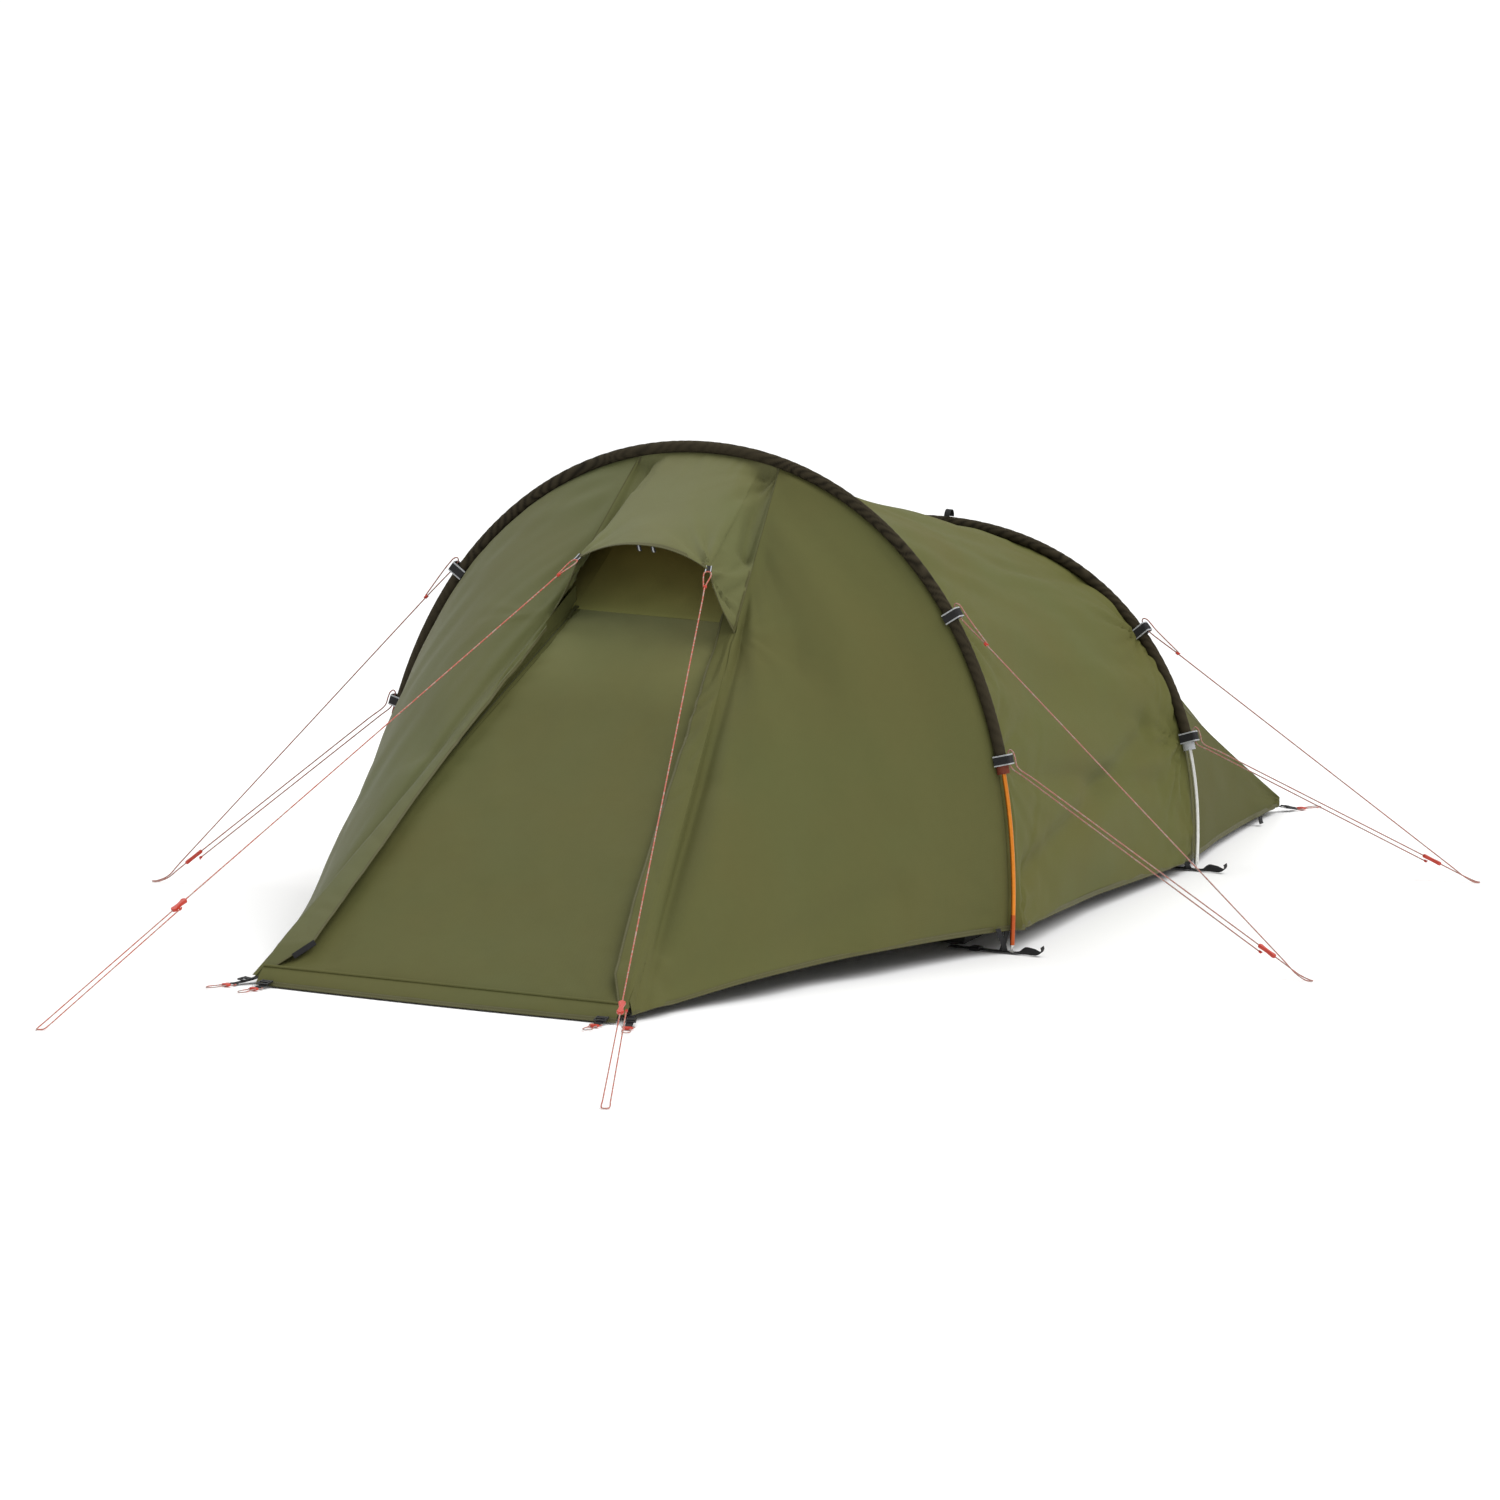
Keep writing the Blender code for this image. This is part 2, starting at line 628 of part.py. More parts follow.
def make_foot_straps():
    """At each pole foot: a ground strap with an eyelet for the pole's pin, and its ladder buckle."""
    inner_reach, outer_reach = 0.150, 0.052
    low = 0.0024
    curl = ((0.0, 0.0), (0.010, 0.001), (0.018, 0.005), (0.021, 0.012), (0.019, 0.018))
    eyelet = 0.0042
    for place, hoop in (("front", FRONT_HOOP), ("rear", REAR_HOOP)):
        foot = hoop["half_width"]
        path = [(foot - inner_reach, low), (foot - 0.03, low), (foot + 0.03, low)]
        path += [(foot + outer_reach + dx, low + dz) for dx, dz in curl]
        for label, side in SIDES:
            verts = []
            for k, (x, z) in enumerate(path):
                before = Vector(path[max(k - 1, 0)])
                after = Vector(path[min(k + 1, len(path) - 1)])
                slope = (after - before).normalized()
                up = Vector((-slope.y, slope.x))
                half = WEB_WIDTH / 2 if k < 4 else WEB_WIDTH * 0.36
                for lift in (0.0, WEB_THICK):
                    for y in (-half, half):
                        verts.append(Vector((side * (x + up.x * lift), hoop["y"] + y, z + up.y * lift)))
            faces = [[0, 1, 3, 2]]
            for k in range(len(path) - 1):
                a, b = 4 * k, 4 * k + 4
                faces += [[a, b, b + 1, a + 1], [a + 2, a + 3, b + 3, b + 2]]
                faces += [[a, a + 2, b + 2, b], [a + 1, b + 1, b + 3, a + 3]]
            last = 4 * (len(path) - 1)
            faces.append([last, last + 2, last + 3, last + 1])
            strap = add_mesh(f"foot_strap_{place}_{label}", "webbing", verts, faces, smooth=False)
            pin = Vector((side * foot, hoop["y"], 0.0))
            up = Vector((0, 0, 0.02))
            cut(strap, f"eyelet_cutter_{place}_{label}", *rod_mesh(pin - up, pin + up, eyelet))
            make_buckle(f"foot_buckle_{place}_{label}", Vector((side * (foot - 0.085), hoop["y"], 0.0)), low)


def make_buckle(name, place, strap_low):
    """A ladder buckle that grips the ground strap: a flat frame with a slot through it."""
    half_long, half_wide = 0.011, 0.0145
    bottom, top = 0.0006, 0.0082
    slot_wide = WEB_WIDTH / 2 + 0.0008
    slot_low, slot_high = strap_low - 0.0009, strap_low + WEB_THICK + 0.0011
    corner = 0.0025
    outline = [
        (-half_wide, bottom), (half_wide, bottom), (half_wide, top - corner),
        (half_wide - corner, top), (-half_wide + corner, top), (-half_wide, top - corner),
    ]
    axes = (Vector((0, 1, 0)), Vector((0, 0, 1)), Vector((1, 0, 0)))
    buckle = prism(name, "black_plastic", outline, place, axes, -half_long, half_long)
    verts = []
    for x in (-2 * half_long, 2 * half_long):
        for y, z in ((-slot_wide, slot_low), (slot_wide, slot_low), (slot_wide, slot_high), (-slot_wide, slot_high)):
            verts.append(place + Vector((x, y, z)))
    faces = [[0, 1, 2, 3], [7, 6, 5, 4], [0, 4, 5, 1], [1, 5, 6, 2], [2, 6, 7, 3], [3, 7, 4, 0]]
    cut(buckle, name.replace("foot_buckle", "buckle_cutter"), verts, faces)


def corner_tabs():
    """Each ground tab: name, the point where it leaves the cloth, and where its folded end lies."""
    front_tip = FRONT_Y - FRONT_REACH
    rear_tip = FRONT_Y + REAR_REACH
    for label, side in SIDES:
        wall = mirrored(CORNER, side)
        yield f"porch_{label}", wall + Vector((side * 0.004, -0.008, -0.004)), Vector((side * 0.468, front_tip + 0.012, 0.0035))
        door = Vector((side * DOOR_TAB_X, DOOR_HINGE_Y - 0.006, 0.012))
        yield f"door_{label}", door, Vector((side * 0.400, front_tip, 0.0035))
        foot = mirrored(FOOT_CORNER, side)
        yield f"foot_{label}", foot + Vector((side * 0.004, 0.006, -0.004)), Vector((side * 0.545, rear_tip, 0.0035))


def make_corner_tabs():
    """Webbing tabs at the six ground corners, and the peg loop through the fold of each."""
    for name, start, end in corner_tabs():
        along = (end - start).normalized()
        across = along.cross(Vector((0, 0, 1))).normalized()
        up = across.cross(along).normalized()
        half, thick = 0.008, 0.0008
        fold = 0.0022
        length = (end - start).length
        outline = [
            (0.0, -thick), (length - 0.006, -thick), (length - 0.003, -fold), (length, -fold * 0.7),
            (length, fold * 0.7), (length - 0.003, fold), (length - 0.006, thick), (0.0, thick),
        ]
        prism(f"corner_tab_{name}", "webbing", outline, start, (along, up, across), -half, half)
        peg_loop(name, end - along * 0.0022, along, across, half)


def peg_loop(name, fold, along, across, half):
    """A loop of cord through the tab's fold: out of one side, round, and in at the other."""
    level = Vector((along.x, along.y, 0)).normalized()
    start_gap = 0.0004
    shape = (
        (0.000, half + start_gap), (0.001, half + 0.004), (0.007, half + 0.006), (0.018, 0.0095),
        (0.032, 0.0060), (0.050, 0.0085), (0.066, 0.0085), (0.076, 0.0),
    )
    points = []
    for forward, wide in shape:
        points.append(fold + level * forward + across * wide)
    for forward, wide in reversed(shape[:-1]):
        points.append(fold + level * forward - across * wide)
    for point in points:
        point.z = max(point.z, PEG_CORD_RADIUS + 0.0005)
    tube(f"peg_loop_{name}", "cord", points, PEG_CORD_RADIUS)


def make_slider(name, place, along):
    """A flat dog-bone runner with a bore along it for the cord."""
    across = along.cross(Vector((0, 0, 1))).normalized()
    up = across.cross(along).normalized()
    centre = SLIDER_LENGTH / 2 - SLIDER_BULB
    outline = []
    for turn in (-50, 0, 50):
        angle = math.radians(turn)
        outline.append((centre + SLIDER_BULB * math.cos(angle), SLIDER_BULB * math.sin(angle)))
    outline += [(centre - 0.002, SLIDER_BULB), (0.004, SLIDER_WAIST), (-0.004, SLIDER_WAIST), (0.002 - centre, SLIDER_BULB)]
    for turn in (130, 180, 230):
        angle = math.radians(turn)
        outline.append((-centre + SLIDER_BULB * math.cos(angle), SLIDER_BULB * math.sin(angle)))
    outline += [(0.002 - centre, -SLIDER_BULB), (-0.004, -SLIDER_WAIST), (0.004, -SLIDER_WAIST), (centre - 0.002, -SLIDER_BULB)]
    half = SLIDER_THICK / 2
    slider = prism(name, "red_plastic", outline, place, (along, across, up), -half, half)
    reach = along * SLIDER_LENGTH
    cut(slider, name.replace("guy_slider", "slider_cutter"), *rod_mesh(place - reach, place + reach, SLIDER_BORE))


# Guy lines


def loop_pass(hoop, z, side):
    """The cord's way through a webbing loop: over its outside, round its upper edge, back inside it."""
    shape = (  # up the hoop, away from it
        (-0.0200, 0.0350), (0.0000, 0.0335), (0.0130, 0.0315), (0.0195, 0.0255),
        (0.0165, 0.0200), (0.0060, 0.0185), (-0.0080, 0.0185), (-0.0190, 0.0205),
    )
    centre, outward, along, _ = hoop_frame(hoop, angle_at_height(hoop, z))
    return [mirrored(centre + along * up + outward * out, side) for up, out in shape]


def peg_turn(peg, home, half=0.007):
    """The cord's turn round a peg, in two halves with the far point between them."""
    towards = Vector((home.x - peg.x, home.y - peg.y, 0)).normalized()
    beside = Vector((-towards.y, towards.x, 0))
    rise = Vector((0, 0, 0.0022))
    near = peg + towards * 0.010 + rise
    before = [peg + towards * 0.034 + beside * half + rise * 6, near + beside * half]
    after = [near - beside * half, peg + towards * 0.034 - beside * half + rise * 5]
    return before, peg + rise, after


def guy_route(guy):
    """One cord: knot, upper loop, knot, peg, slider, lower loop, and back to beside the slider."""
    hoop, side = guy["hoop"], guy["side"]
    peg = Vector((*guy["peg"], 0.0))
    upper = loop_pass(hoop, guy["loops"]["upper"], side)
    lower = loop_pass(hoop, guy["loops"]["lower"], side)
    way = (peg - upper[-1]).normalized()
    knot = upper[-1] + way * 0.075
    knot_side = (upper[0] - upper[-1]).normalized() * 0.0036
    before, far, after = peg_turn(peg, upper[0])
    start, end = after[-1], lower[0]
    climb = (end - start).normalized()
    slider = start + climb * (guy["slider"] - 0.034)
    tail_side = (lower[-1] - lower[0]).cross(climb).cross(climb).normalized()
    if tail_side.dot(lower[-1] - lower[0]) < 0:
        tail_side.negate()
    tail_end = slider + climb * 0.012 + tail_side * (SLIDER_BULB + CORD_RADIUS + 0.0022)
    run = before[0] - knot
    route = [knot + knot_side, *upper, knot, knot + run * 0.05, knot + run * 0.95]
    route += [*before, far, *after, start + climb * 0.04, end - climb * 0.05]
    back = tail_end - lower[-1]
    route += [*lower, lower[-1] + back * 0.06, lower[-1] + back * 0.9, tail_end]
    return route, slider, climb


def awning_route(guy):
    """One cord: knot, hood corner, knot, slider, peg, and back to beside the slider."""
    side = guy["side"]
    peg = Vector((*guy["peg"], 0.0))
    corner = mirrored(AWNING_CORNER, side)
    way = (peg - corner).normalized()
    across = way.cross(Vector((0, 0, 1))).normalized()
    tab = corner + way * 0.014
    eye = [
        tab + way * 0.012 + across * 0.0080, tab + across * 0.0072, tab - way * 0.0045 + across * 0.0040,
        tab - way * 0.0055, tab - way * 0.0045 - across * 0.0040, tab - across * 0.0072,
        tab + way * 0.012 - across * 0.0080,
    ]
    knot = tab + way * 0.060
    before, far, after = peg_turn(peg, corner, half=0.008)
    run = before[0] - knot
    slider = knot + run * (1 - (guy["slider"] - 0.034) / run.length)
    down = run.normalized()
    tail_side = (after[-1] - before[0]).normalized()
    tail_end = slider + down * 0.010 + tail_side * (SLIDER_BULB + CORD_RADIUS + 0.0022)
    back = tail_end - after[-1]
    route = [knot + across * 0.0036, *eye, knot, knot + run * 0.03, knot + run * 0.97]
    route += [*before, far, *after, after[-1] + back * 0.08, after[-1] + back * 0.9, tail_end]
    return route, slider, down


def make_guy_lines():
    for name, guy in GUYS.items():
        route, slider, along = guy_route(guy)
        tube(f"guy_cord_{name}", "cord", smooth_route(route, 2), CORD_RADIUS)
        make_slider(f"guy_slider_{name}", slider, along)
    for name, guy in AWNING_GUYS.items():
        route, slider, along = awning_route(guy)
        tube(f"guy_cord_hood_{name}", "cord", smooth_route(route, 2), CORD_RADIUS)
        make_slider(f"guy_slider_hood_{name}", slider, along)


def make_zip_sliders():
    """A zip slider at the top of each zip, on the outside of the door."""
    down = (door_plane(0, 0) - door_plane(0, 1)).normalized()
    outward = Vector((0, down.z, -down.y)).normalized()
    lift, length, half = 0.0022, 0.012, 0.0045
    share = 0.985
    outline = [
        (-length / 2, 0.0), (length / 2, 0.0), (length / 2, 0.0035),
        (length / 4, 0.0050), (-length / 4, 0.0050), (-length / 2, 0.0035),
    ]
    for label, side in SIDES:
        top = door_plane(side * door_half(share), share)
        bottom = door_plane(side * door_half(0.0), 0.0)
        along = (bottom - top).normalized()
        across = outward.cross(along).normalized()
        place = top + outward * lift
        prism(f"zip_slider_{label}", "zip", outline, place, (along, outward, across), -half, half)


def main():
    clear_scene()
    make_pole("front_pole", "front_pole_metal", FRONT_HOOP)
    make_pole("rear_pole", "rear_pole_metal", REAR_HOOP)
    make_sleeve("front_sleeve", FRONT_HOOP, FRONT_SLEEVE_END)
    make_sleeve("rear_sleeve", REAR_HOOP, REAR_SLEEVE_END)
    make_porch_walls()
    make_hood()
    make_door()
    make_vent_panel()
    make_tunnel()
    make_foot_end()
    make_inner_tent()
    make_tub_floor()
    make_guy_loops()
    make_foot_straps()
    make_corner_tabs()
    make_guy_lines()
    make_zip_sliders()


main()
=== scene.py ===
"""Looks of the pitched tunnel tent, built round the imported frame. Metres, +Z up, porch at -Y."""
import math

import bpy
import numpy as np
from mathutils import Matrix, Vector


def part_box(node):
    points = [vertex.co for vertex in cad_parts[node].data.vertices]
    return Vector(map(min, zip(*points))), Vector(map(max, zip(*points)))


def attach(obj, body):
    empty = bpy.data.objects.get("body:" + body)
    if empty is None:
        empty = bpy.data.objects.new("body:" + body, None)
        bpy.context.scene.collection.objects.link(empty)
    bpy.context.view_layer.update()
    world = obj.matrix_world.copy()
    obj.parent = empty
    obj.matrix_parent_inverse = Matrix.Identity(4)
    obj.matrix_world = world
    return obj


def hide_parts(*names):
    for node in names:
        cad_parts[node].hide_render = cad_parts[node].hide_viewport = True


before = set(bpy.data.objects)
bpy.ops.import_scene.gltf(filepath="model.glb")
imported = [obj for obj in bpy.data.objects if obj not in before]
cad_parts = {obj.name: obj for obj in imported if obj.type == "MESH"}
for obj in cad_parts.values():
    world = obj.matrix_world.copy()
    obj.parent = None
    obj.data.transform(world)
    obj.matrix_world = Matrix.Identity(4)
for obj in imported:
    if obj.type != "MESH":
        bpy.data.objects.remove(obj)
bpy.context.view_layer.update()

# The tent's driving dimensions, as in the CAD. px and pz are the powers that shape a hoop.
FRONT_Y = -0.44
REAR_Y = FRONT_Y + 1.26
FRONT_HOOP = {
    "place": "front", "y": FRONT_Y, "lean": 0.037,
    "half_width": 0.777, "height": 1.05, "px": 0.98, "pz": 0.85,
    "hem_z": 0.050, "sleeve_end": 0.392, "loops": {"upper": 0.725, "lower": 0.421},
}
REAR_HOOP = {
    "place": "rear", "y": REAR_Y, "lean": 0.081,
    "half_width": 0.684, "height": 0.74, "px": 0.94, "pz": 0.88,
    "hem_z": 0.024, "sleeve_end": 0.272, "loops": {"upper": 0.529, "lower": 0.299},
}
HOOPS = (FRONT_HOOP, REAR_HOOP)
HOOD_SEAM_X = 0.174
FOOT_SEAM_Z = 0.405
CREST_WAIST = 0.005
SIDE_WAIST = 0.019
SEAM_INSET = 0.0128  # from the pole's centre line in to the fly's seams
SEAM_GAP = 0.0006  # from the pole's plane to a panel's edge
GROUND_CLEARANCE = 0.006
CORNER = Vector((0.440, FRONT_Y - 1.235, 0.014))
ARCH_FOOT = Vector((0.222, FRONT_Y - 0.290, 0.695))
ARCH_CORNER = Vector((0.157, FRONT_Y - 0.293, 0.829))
ARCH_TOP = Vector((0.0, FRONT_Y - 0.300, 0.872))
DOOR_HINGE = Vector((0.0, FRONT_Y - 1.265, 0.020))
DOOR_TOP = Vector((0.0, FRONT_Y - 0.205, 0.715))
DOOR_HALVES = (0.430, 0.189)
DOOR_TAB_X = 0.395
ZIP_TAPE = 0.009
ZIP_TAPE_GAP = 0.002
VENT_TOP = Vector((0.135, FRONT_Y - 0.050, 0.930))
FOOT_CORNER = Vector((0.520, FRONT_Y + 2.155, 0.014))
FOOT_EDGE = 0.020
FOOT_HEM_CURVE = 0.035
FOOT_EDGE_DIP = 0.004
FRONT_REACH = 1.32
REAR_REACH = 2.20
POLE_RADIUS = 0.005
SLEEVE_RADIAL = 0.0135
SLEEVE_ACROSS = 0.011
RIB_PITCH = 0.027
CORD_RADIUS = 0.0015
PEG_CORD_RADIUS = 0.00125
BAND_HALF = 0.012
BAND_INNER = 0.0235
SLIDER_LENGTH = 0.046
SLIDER_BULB = 0.008
TAIL_GAP = 0.0022  # between a cord's tail and the slider beside it
KNOT_TAIL = 0.0036  # from a knot's middle to the tail that comes out of it
PEG_REACH = 0.034  # from a peg back to where its two strands lie side by side
GUYS = {
    "front_right": {"hoop": FRONT_HOOP, "side": 1, "peg": (1.472, FRONT_Y + 0.038), "slider": 0.123},
    "front_left": {"hoop": FRONT_HOOP, "side": -1, "peg": (-1.226, FRONT_Y - 0.216), "slider": 0.110},
    "rear_right": {"hoop": REAR_HOOP, "side": 1, "peg": (1.297, FRONT_Y + 1.468), "slider": 0.120},
    "rear_left": {"hoop": REAR_HOOP, "side": -1, "peg": (-1.240, FRONT_Y + 1.420), "slider": 0.120},
}
AWNING_GUYS = {
    "right": {"side": 1, "peg": (0.827, FRONT_Y - 2.179), "slider": 0.385},
    "left": {"side": -1, "peg": (-0.563, FRONT_Y - 2.015), "slider": 0.500},
}
AWNING_CORNER = Vector((0.157, FRONT_Y - 0.293, 0.830))
SIDES = (("right", 1), ("left", -1))
CLOTH_THICK = 0.0007
STUDIO_FILL = 0.68
SOFTBOX = 2.05
OVERHEAD_LAMP = 75
FLOOR_HALF = 60
CAMERA_PLACE = (11.594, FRONT_Y - 25.115, 4.696)
CAMERA_ANGLES = (24.526, 8.860, -1.578)  # azimuth, elevation and roll, in degrees
CAMERA_LENS = 304.5


# Camera, light and floor


def add_object(name, data):
    obj = bpy.data.objects.new(name, data)
    bpy.context.scene.collection.objects.link(obj)
    return obj


def make_camera():
    azimuth, elevation, roll = (math.radians(angle) for angle in CAMERA_ANGLES)
    forward = Vector((
        -math.sin(azimuth) * math.cos(elevation),
        math.cos(azimuth) * math.cos(elevation),
        -math.sin(elevation),
    ))
    level = Vector((math.cos(azimuth), math.sin(azimuth), 0))
    down = forward.cross(level)
    right = level * math.cos(roll) + down * math.sin(roll)
    up = level * math.sin(roll) - down * math.cos(roll)
    camera = bpy.data.cameras.new("camera")
    camera.sensor_width = 36.0
    camera.lens = CAMERA_LENS
    camera.clip_end = 200
    obj = add_object("camera", camera)
    turn = Matrix((right, up, -forward)).transposed().to_4x4()
    obj.matrix_world = Matrix.Translation(CAMERA_PLACE) @ turn
    bpy.context.scene.camera = obj


def area_light(name, place, target, size, energy):
    lamp = bpy.data.lights.new(name, "AREA")
    lamp.shape = "RECTANGLE"
    lamp.size, lamp.size_y = size
    lamp.energy = energy
    obj = add_object(name, lamp)
    obj.location = place
    obj.rotation_euler = (Vector(target) - Vector(place)).to_track_quat("-Z", "Y").to_euler()


def make_studio():
    bpy.context.scene.view_settings.view_transform = "Standard"
    world = bpy.data.worlds.new("studio")
    bpy.context.scene.world = world
    world.use_nodes = True
    backdrop = world.node_tree.nodes["Background"]
    backdrop.inputs["Color"].default_value = (1, 1, 1, 1)
    backdrop.inputs["Strength"].default_value = STUDIO_FILL
    sun = bpy.data.lights.new("softbox", "SUN")
    sun.energy = SOFTBOX
    sun.angle = math.radians(55)
    obj = add_object("softbox", sun)
    obj.rotation_euler = Vector((-0.55, -0.15, -0.85)).to_track_quat("-Z", "Y").to_euler()
    obj.visible_glossy = False
    area_light("overhead", (-2.3, 0.4, 5.2), (0, -0.4, 0.8), (3, 3), OVERHEAD_LAMP)
    mesh = bpy.data.meshes.new("floor")
    corners = [(x * FLOOR_HALF, y * FLOOR_HALF, -0.001) for x, y in ((-1, -1), (1, -1), (1, 1), (-1, 1))]
    mesh.from_pydata(corners, [], [(0, 1, 2, 3)])
    mesh.materials.append(plain("floor_pale", (0.93, 0.93, 0.93), 0.9))
    add_object("floor", mesh)


# Materials


def shader_of(material):
    return material.node_tree.nodes["Principled BSDF"]


def plain(name, colour, roughness, metallic=0.0):
    material = bpy.data.materials.get(name)
    if material:
        return material
    material = bpy.data.materials.new(name)
    material.use_nodes = True
    shader = shader_of(material)
    shader.inputs["Base Color"].default_value = (*colour, 1)
    shader.inputs["Roughness"].default_value = roughness
    shader.inputs["Metallic"].default_value = metallic
    return material


class Nodes:
    """Short calls for building a material's nodes."""

    def __init__(self, material):
        self.tree = material.node_tree
        self.shader = shader_of(material)
        self.coord = self.tree.nodes.new("ShaderNodeTexCoord")

    def add(self, kind, **values):
        node = self.tree.nodes.new(kind)
        for key, value in values.items():
            if hasattr(node, key):
                setattr(node, key, value)
            else:
                node.inputs[key.replace("_", " ")].default_value = value
        return node

    def link(self, source, target):
        self.tree.links.new(source, target)

    def math(self, operation, first, second=None, third=None):
        node = self.add("ShaderNodeMath", operation=operation)
        for k, value in enumerate((first, second, third)):
            if value is None:
                continue
            if isinstance(value, (int, float)):
                node.inputs[k].default_value = value
            else:
                self.link(value, node.inputs[k])
        return node.outputs[0]

    def noise(self, scale, source="Object", detail=2.0, roughness=0.5):
        node = self.add("ShaderNodeTexNoise", Scale=scale, Detail=detail, Roughness=roughness)
        self.link(self.coord.outputs[source], node.inputs["Vector"])
        return node.outputs["Fac"]

    def uv(self):
        node = self.add("ShaderNodeSeparateXYZ")
        self.link(self.coord.outputs["UV"], node.inputs[0])
        return node.outputs[0], node.outputs[1]

    def wave(self, value, period):
        """A wave from 0 to 1 that repeats every period metres."""
        turned = self.math("MULTIPLY", value, 2 * math.pi / period)
        return self.math("MULTIPLY_ADD", self.math("SINE", turned), 0.5, 0.5)

    def mix(self, share, first, second):
        node = self.add("ShaderNodeMix", data_type="RGBA")
        for value, place in ((share, 0), (first, 6), (second, 7)):
            socket = node.inputs[place]
            if isinstance(value, tuple):
                socket.default_value = (*value, 1)
            elif isinstance(value, (int, float)):
                socket.default_value = value
            else:
                self.link(value, socket)
        return node.outputs[2]

    def colour(self, output):
        self.link(output, self.shader.inputs["Base Color"])

    def bump(self, height, distance, strength=1.0):
        node = self.add("ShaderNodeBump", Distance=distance, Strength=strength)
        self.link(height, node.inputs["Height"])
        self.link(node.outputs[0], self.shader.inputs["Normal"])

    def spread(self, value, low, high):
        """value scaled from 0..1 to low..high."""
        return self.math("MULTIPLY_ADD", value, high - low, low)


def scaled(colour, factor):
    """A colour made lighter or darker."""
    return tuple(min(1.0, channel * factor) for channel in colour)


def cloth_material(
    name, colour, warm, roughness=0.62, ripstop=0.0055, sheen=0.0, gloss=0.08, painted=None
):
    """Coated ripstop: a fine weave with thicker threads in a grid, and soft uneven colour.

    painted names a colour layer of painted light and shade: "folds" darkens the cloth as painted shade,
    any other one multiplies its colour.
    """
    weave = 0.0007
    material = plain(name, colour, roughness)
    nodes = Nodes(material)
    nodes.shader.inputs["Sheen Weight"].default_value = sheen
    nodes.shader.inputs["Sheen Roughness"].default_value = 0.5
    nodes.shader.inputs["Specular IOR Level"].default_value = gloss
    u, v = nodes.uv()
    threads = nodes.math("MULTIPLY", nodes.wave(u, weave), nodes.wave(v, weave))
    thick_threads = [nodes.math("POWER", nodes.wave(way, ripstop), 24.0) for way in (u, v)]
    grid = nodes.math("MAXIMUM", *thick_threads)
    broad = nodes.noise(3.2, detail=3.0, roughness=0.55)
    fine = nodes.noise(45.0, detail=2.0)
    patchy = nodes.math("SMOOTH_MIN", nodes.spread(broad, -0.6, 1.6), 1.0, 0.2)
    shade = nodes.mix(patchy, colour, warm)
    shade = nodes.mix(nodes.math("MULTIPLY", grid, 0.16), shade, scaled(colour, 0.62))
    shade = nodes.mix(nodes.math("MULTIPLY", fine, 0.10), shade, scaled(colour, 1.5))
    # Painted light and shade: the colour layer darkens or lightens the cloth's colour.
    if painted:
        layer = nodes.add("ShaderNodeVertexColor", layer_name=painted).outputs["Color"]
    if painted == "folds":
        shade = nodes.mix(layer, scaled(colour, 0.30), shade)
    elif painted:
        product = nodes.add("ShaderNodeVectorMath", operation="MULTIPLY")
        nodes.link(shade, product.inputs[0])
        nodes.link(layer, product.inputs[1])
        shade = product.outputs["Vector"]
    nodes.colour(shade)
    nodes.link(nodes.spread(broad, roughness - 0.06, roughness + 0.08), nodes.shader.inputs["Roughness"])
    height = nodes.math("ADD", nodes.math("MULTIPLY", threads, 0.5), grid)
    nodes.bump(height, 0.00012, 0.5)
    return material


def hem_material(name, colour, thread):
    """Folded cloth with two rows of stitches along it. v runs across the band, in metres."""
    stitch_pitch, stitch_share, half_thread, rows = 0.0045, 0.62, 0.0005, (0.0025, 0.0090)
    material = plain(name, colour, 0.7)
    nodes = Nodes(material)
    u, v = nodes.uv()
    along = nodes.math("FRACT", nodes.math("DIVIDE", u, stitch_pitch))
    dash = nodes.math("LESS_THAN", along, stitch_share)
    beside = [nodes.math("ABSOLUTE", nodes.math("SUBTRACT", v, row)) for row in rows]
    on_row = nodes.math("MAXIMUM", *[nodes.math("LESS_THAN", away, half_thread) for away in beside])
    stitch = nodes.math("MULTIPLY", dash, on_row)
    broad = nodes.noise(18.0, detail=3.0)
    tone = nodes.mix(broad, scaled(colour, 0.85), scaled(colour, 1.12))
    nodes.colour(nodes.mix(stitch, tone, thread))
    threads = nodes.math("MULTIPLY", nodes.wave(u, 0.0008), nodes.wave(v, 0.0008))
    nodes.bump(nodes.math("ADD", threads, nodes.math("MULTIPLY", stitch, 3.0)), 0.00015, 0.6)
    return material


def webbing_material(name, colour, roughness=0.8):
    """Flat woven tape: fine ribs across it and a herringbone along it."""
    material = plain(name, colour, roughness)
    nodes = Nodes(material)
    u, v = nodes.uv()
    slant = nodes.math("ADD", u, nodes.math("MULTIPLY", nodes.math("ABSOLUTE", v), 0.6))
    ribs = nodes.math("MULTIPLY", nodes.wave(slant, 0.0016), nodes.wave(v, 0.0022))
    worn = nodes.noise(60.0, detail=3.0)
    tone = nodes.mix(ribs, scaled(colour, 0.6), scaled(colour, 1.5))
    nodes.colour(nodes.mix(nodes.math("MULTIPLY", worn, 0.25), tone, scaled(colour, 2.5)))
    nodes.bump(ribs, 0.0003, 0.8)
    return material


def cord_material(name, colour, fleck):
    """Braided cord: crossing strands with lighter reflective flecks."""
    material = plain(name, colour, 0.65)
    nodes = Nodes(material)
    braid = nodes.add("ShaderNodeTexVoronoi", Scale=420.0)
    nodes.link(nodes.coord.outputs["Object"], braid.inputs["Vector"])
    patches = nodes.noise(160.0, detail=1.0)
    strands = nodes.math("MULTIPLY_ADD", braid.outputs["Distance"], 0.25, patches)
    nodes.colour(nodes.mix(nodes.math("GREATER_THAN", strands, 0.68), colour, fleck))
    nodes.bump(braid.outputs["Distance"], 0.0004, 0.7)
    return material


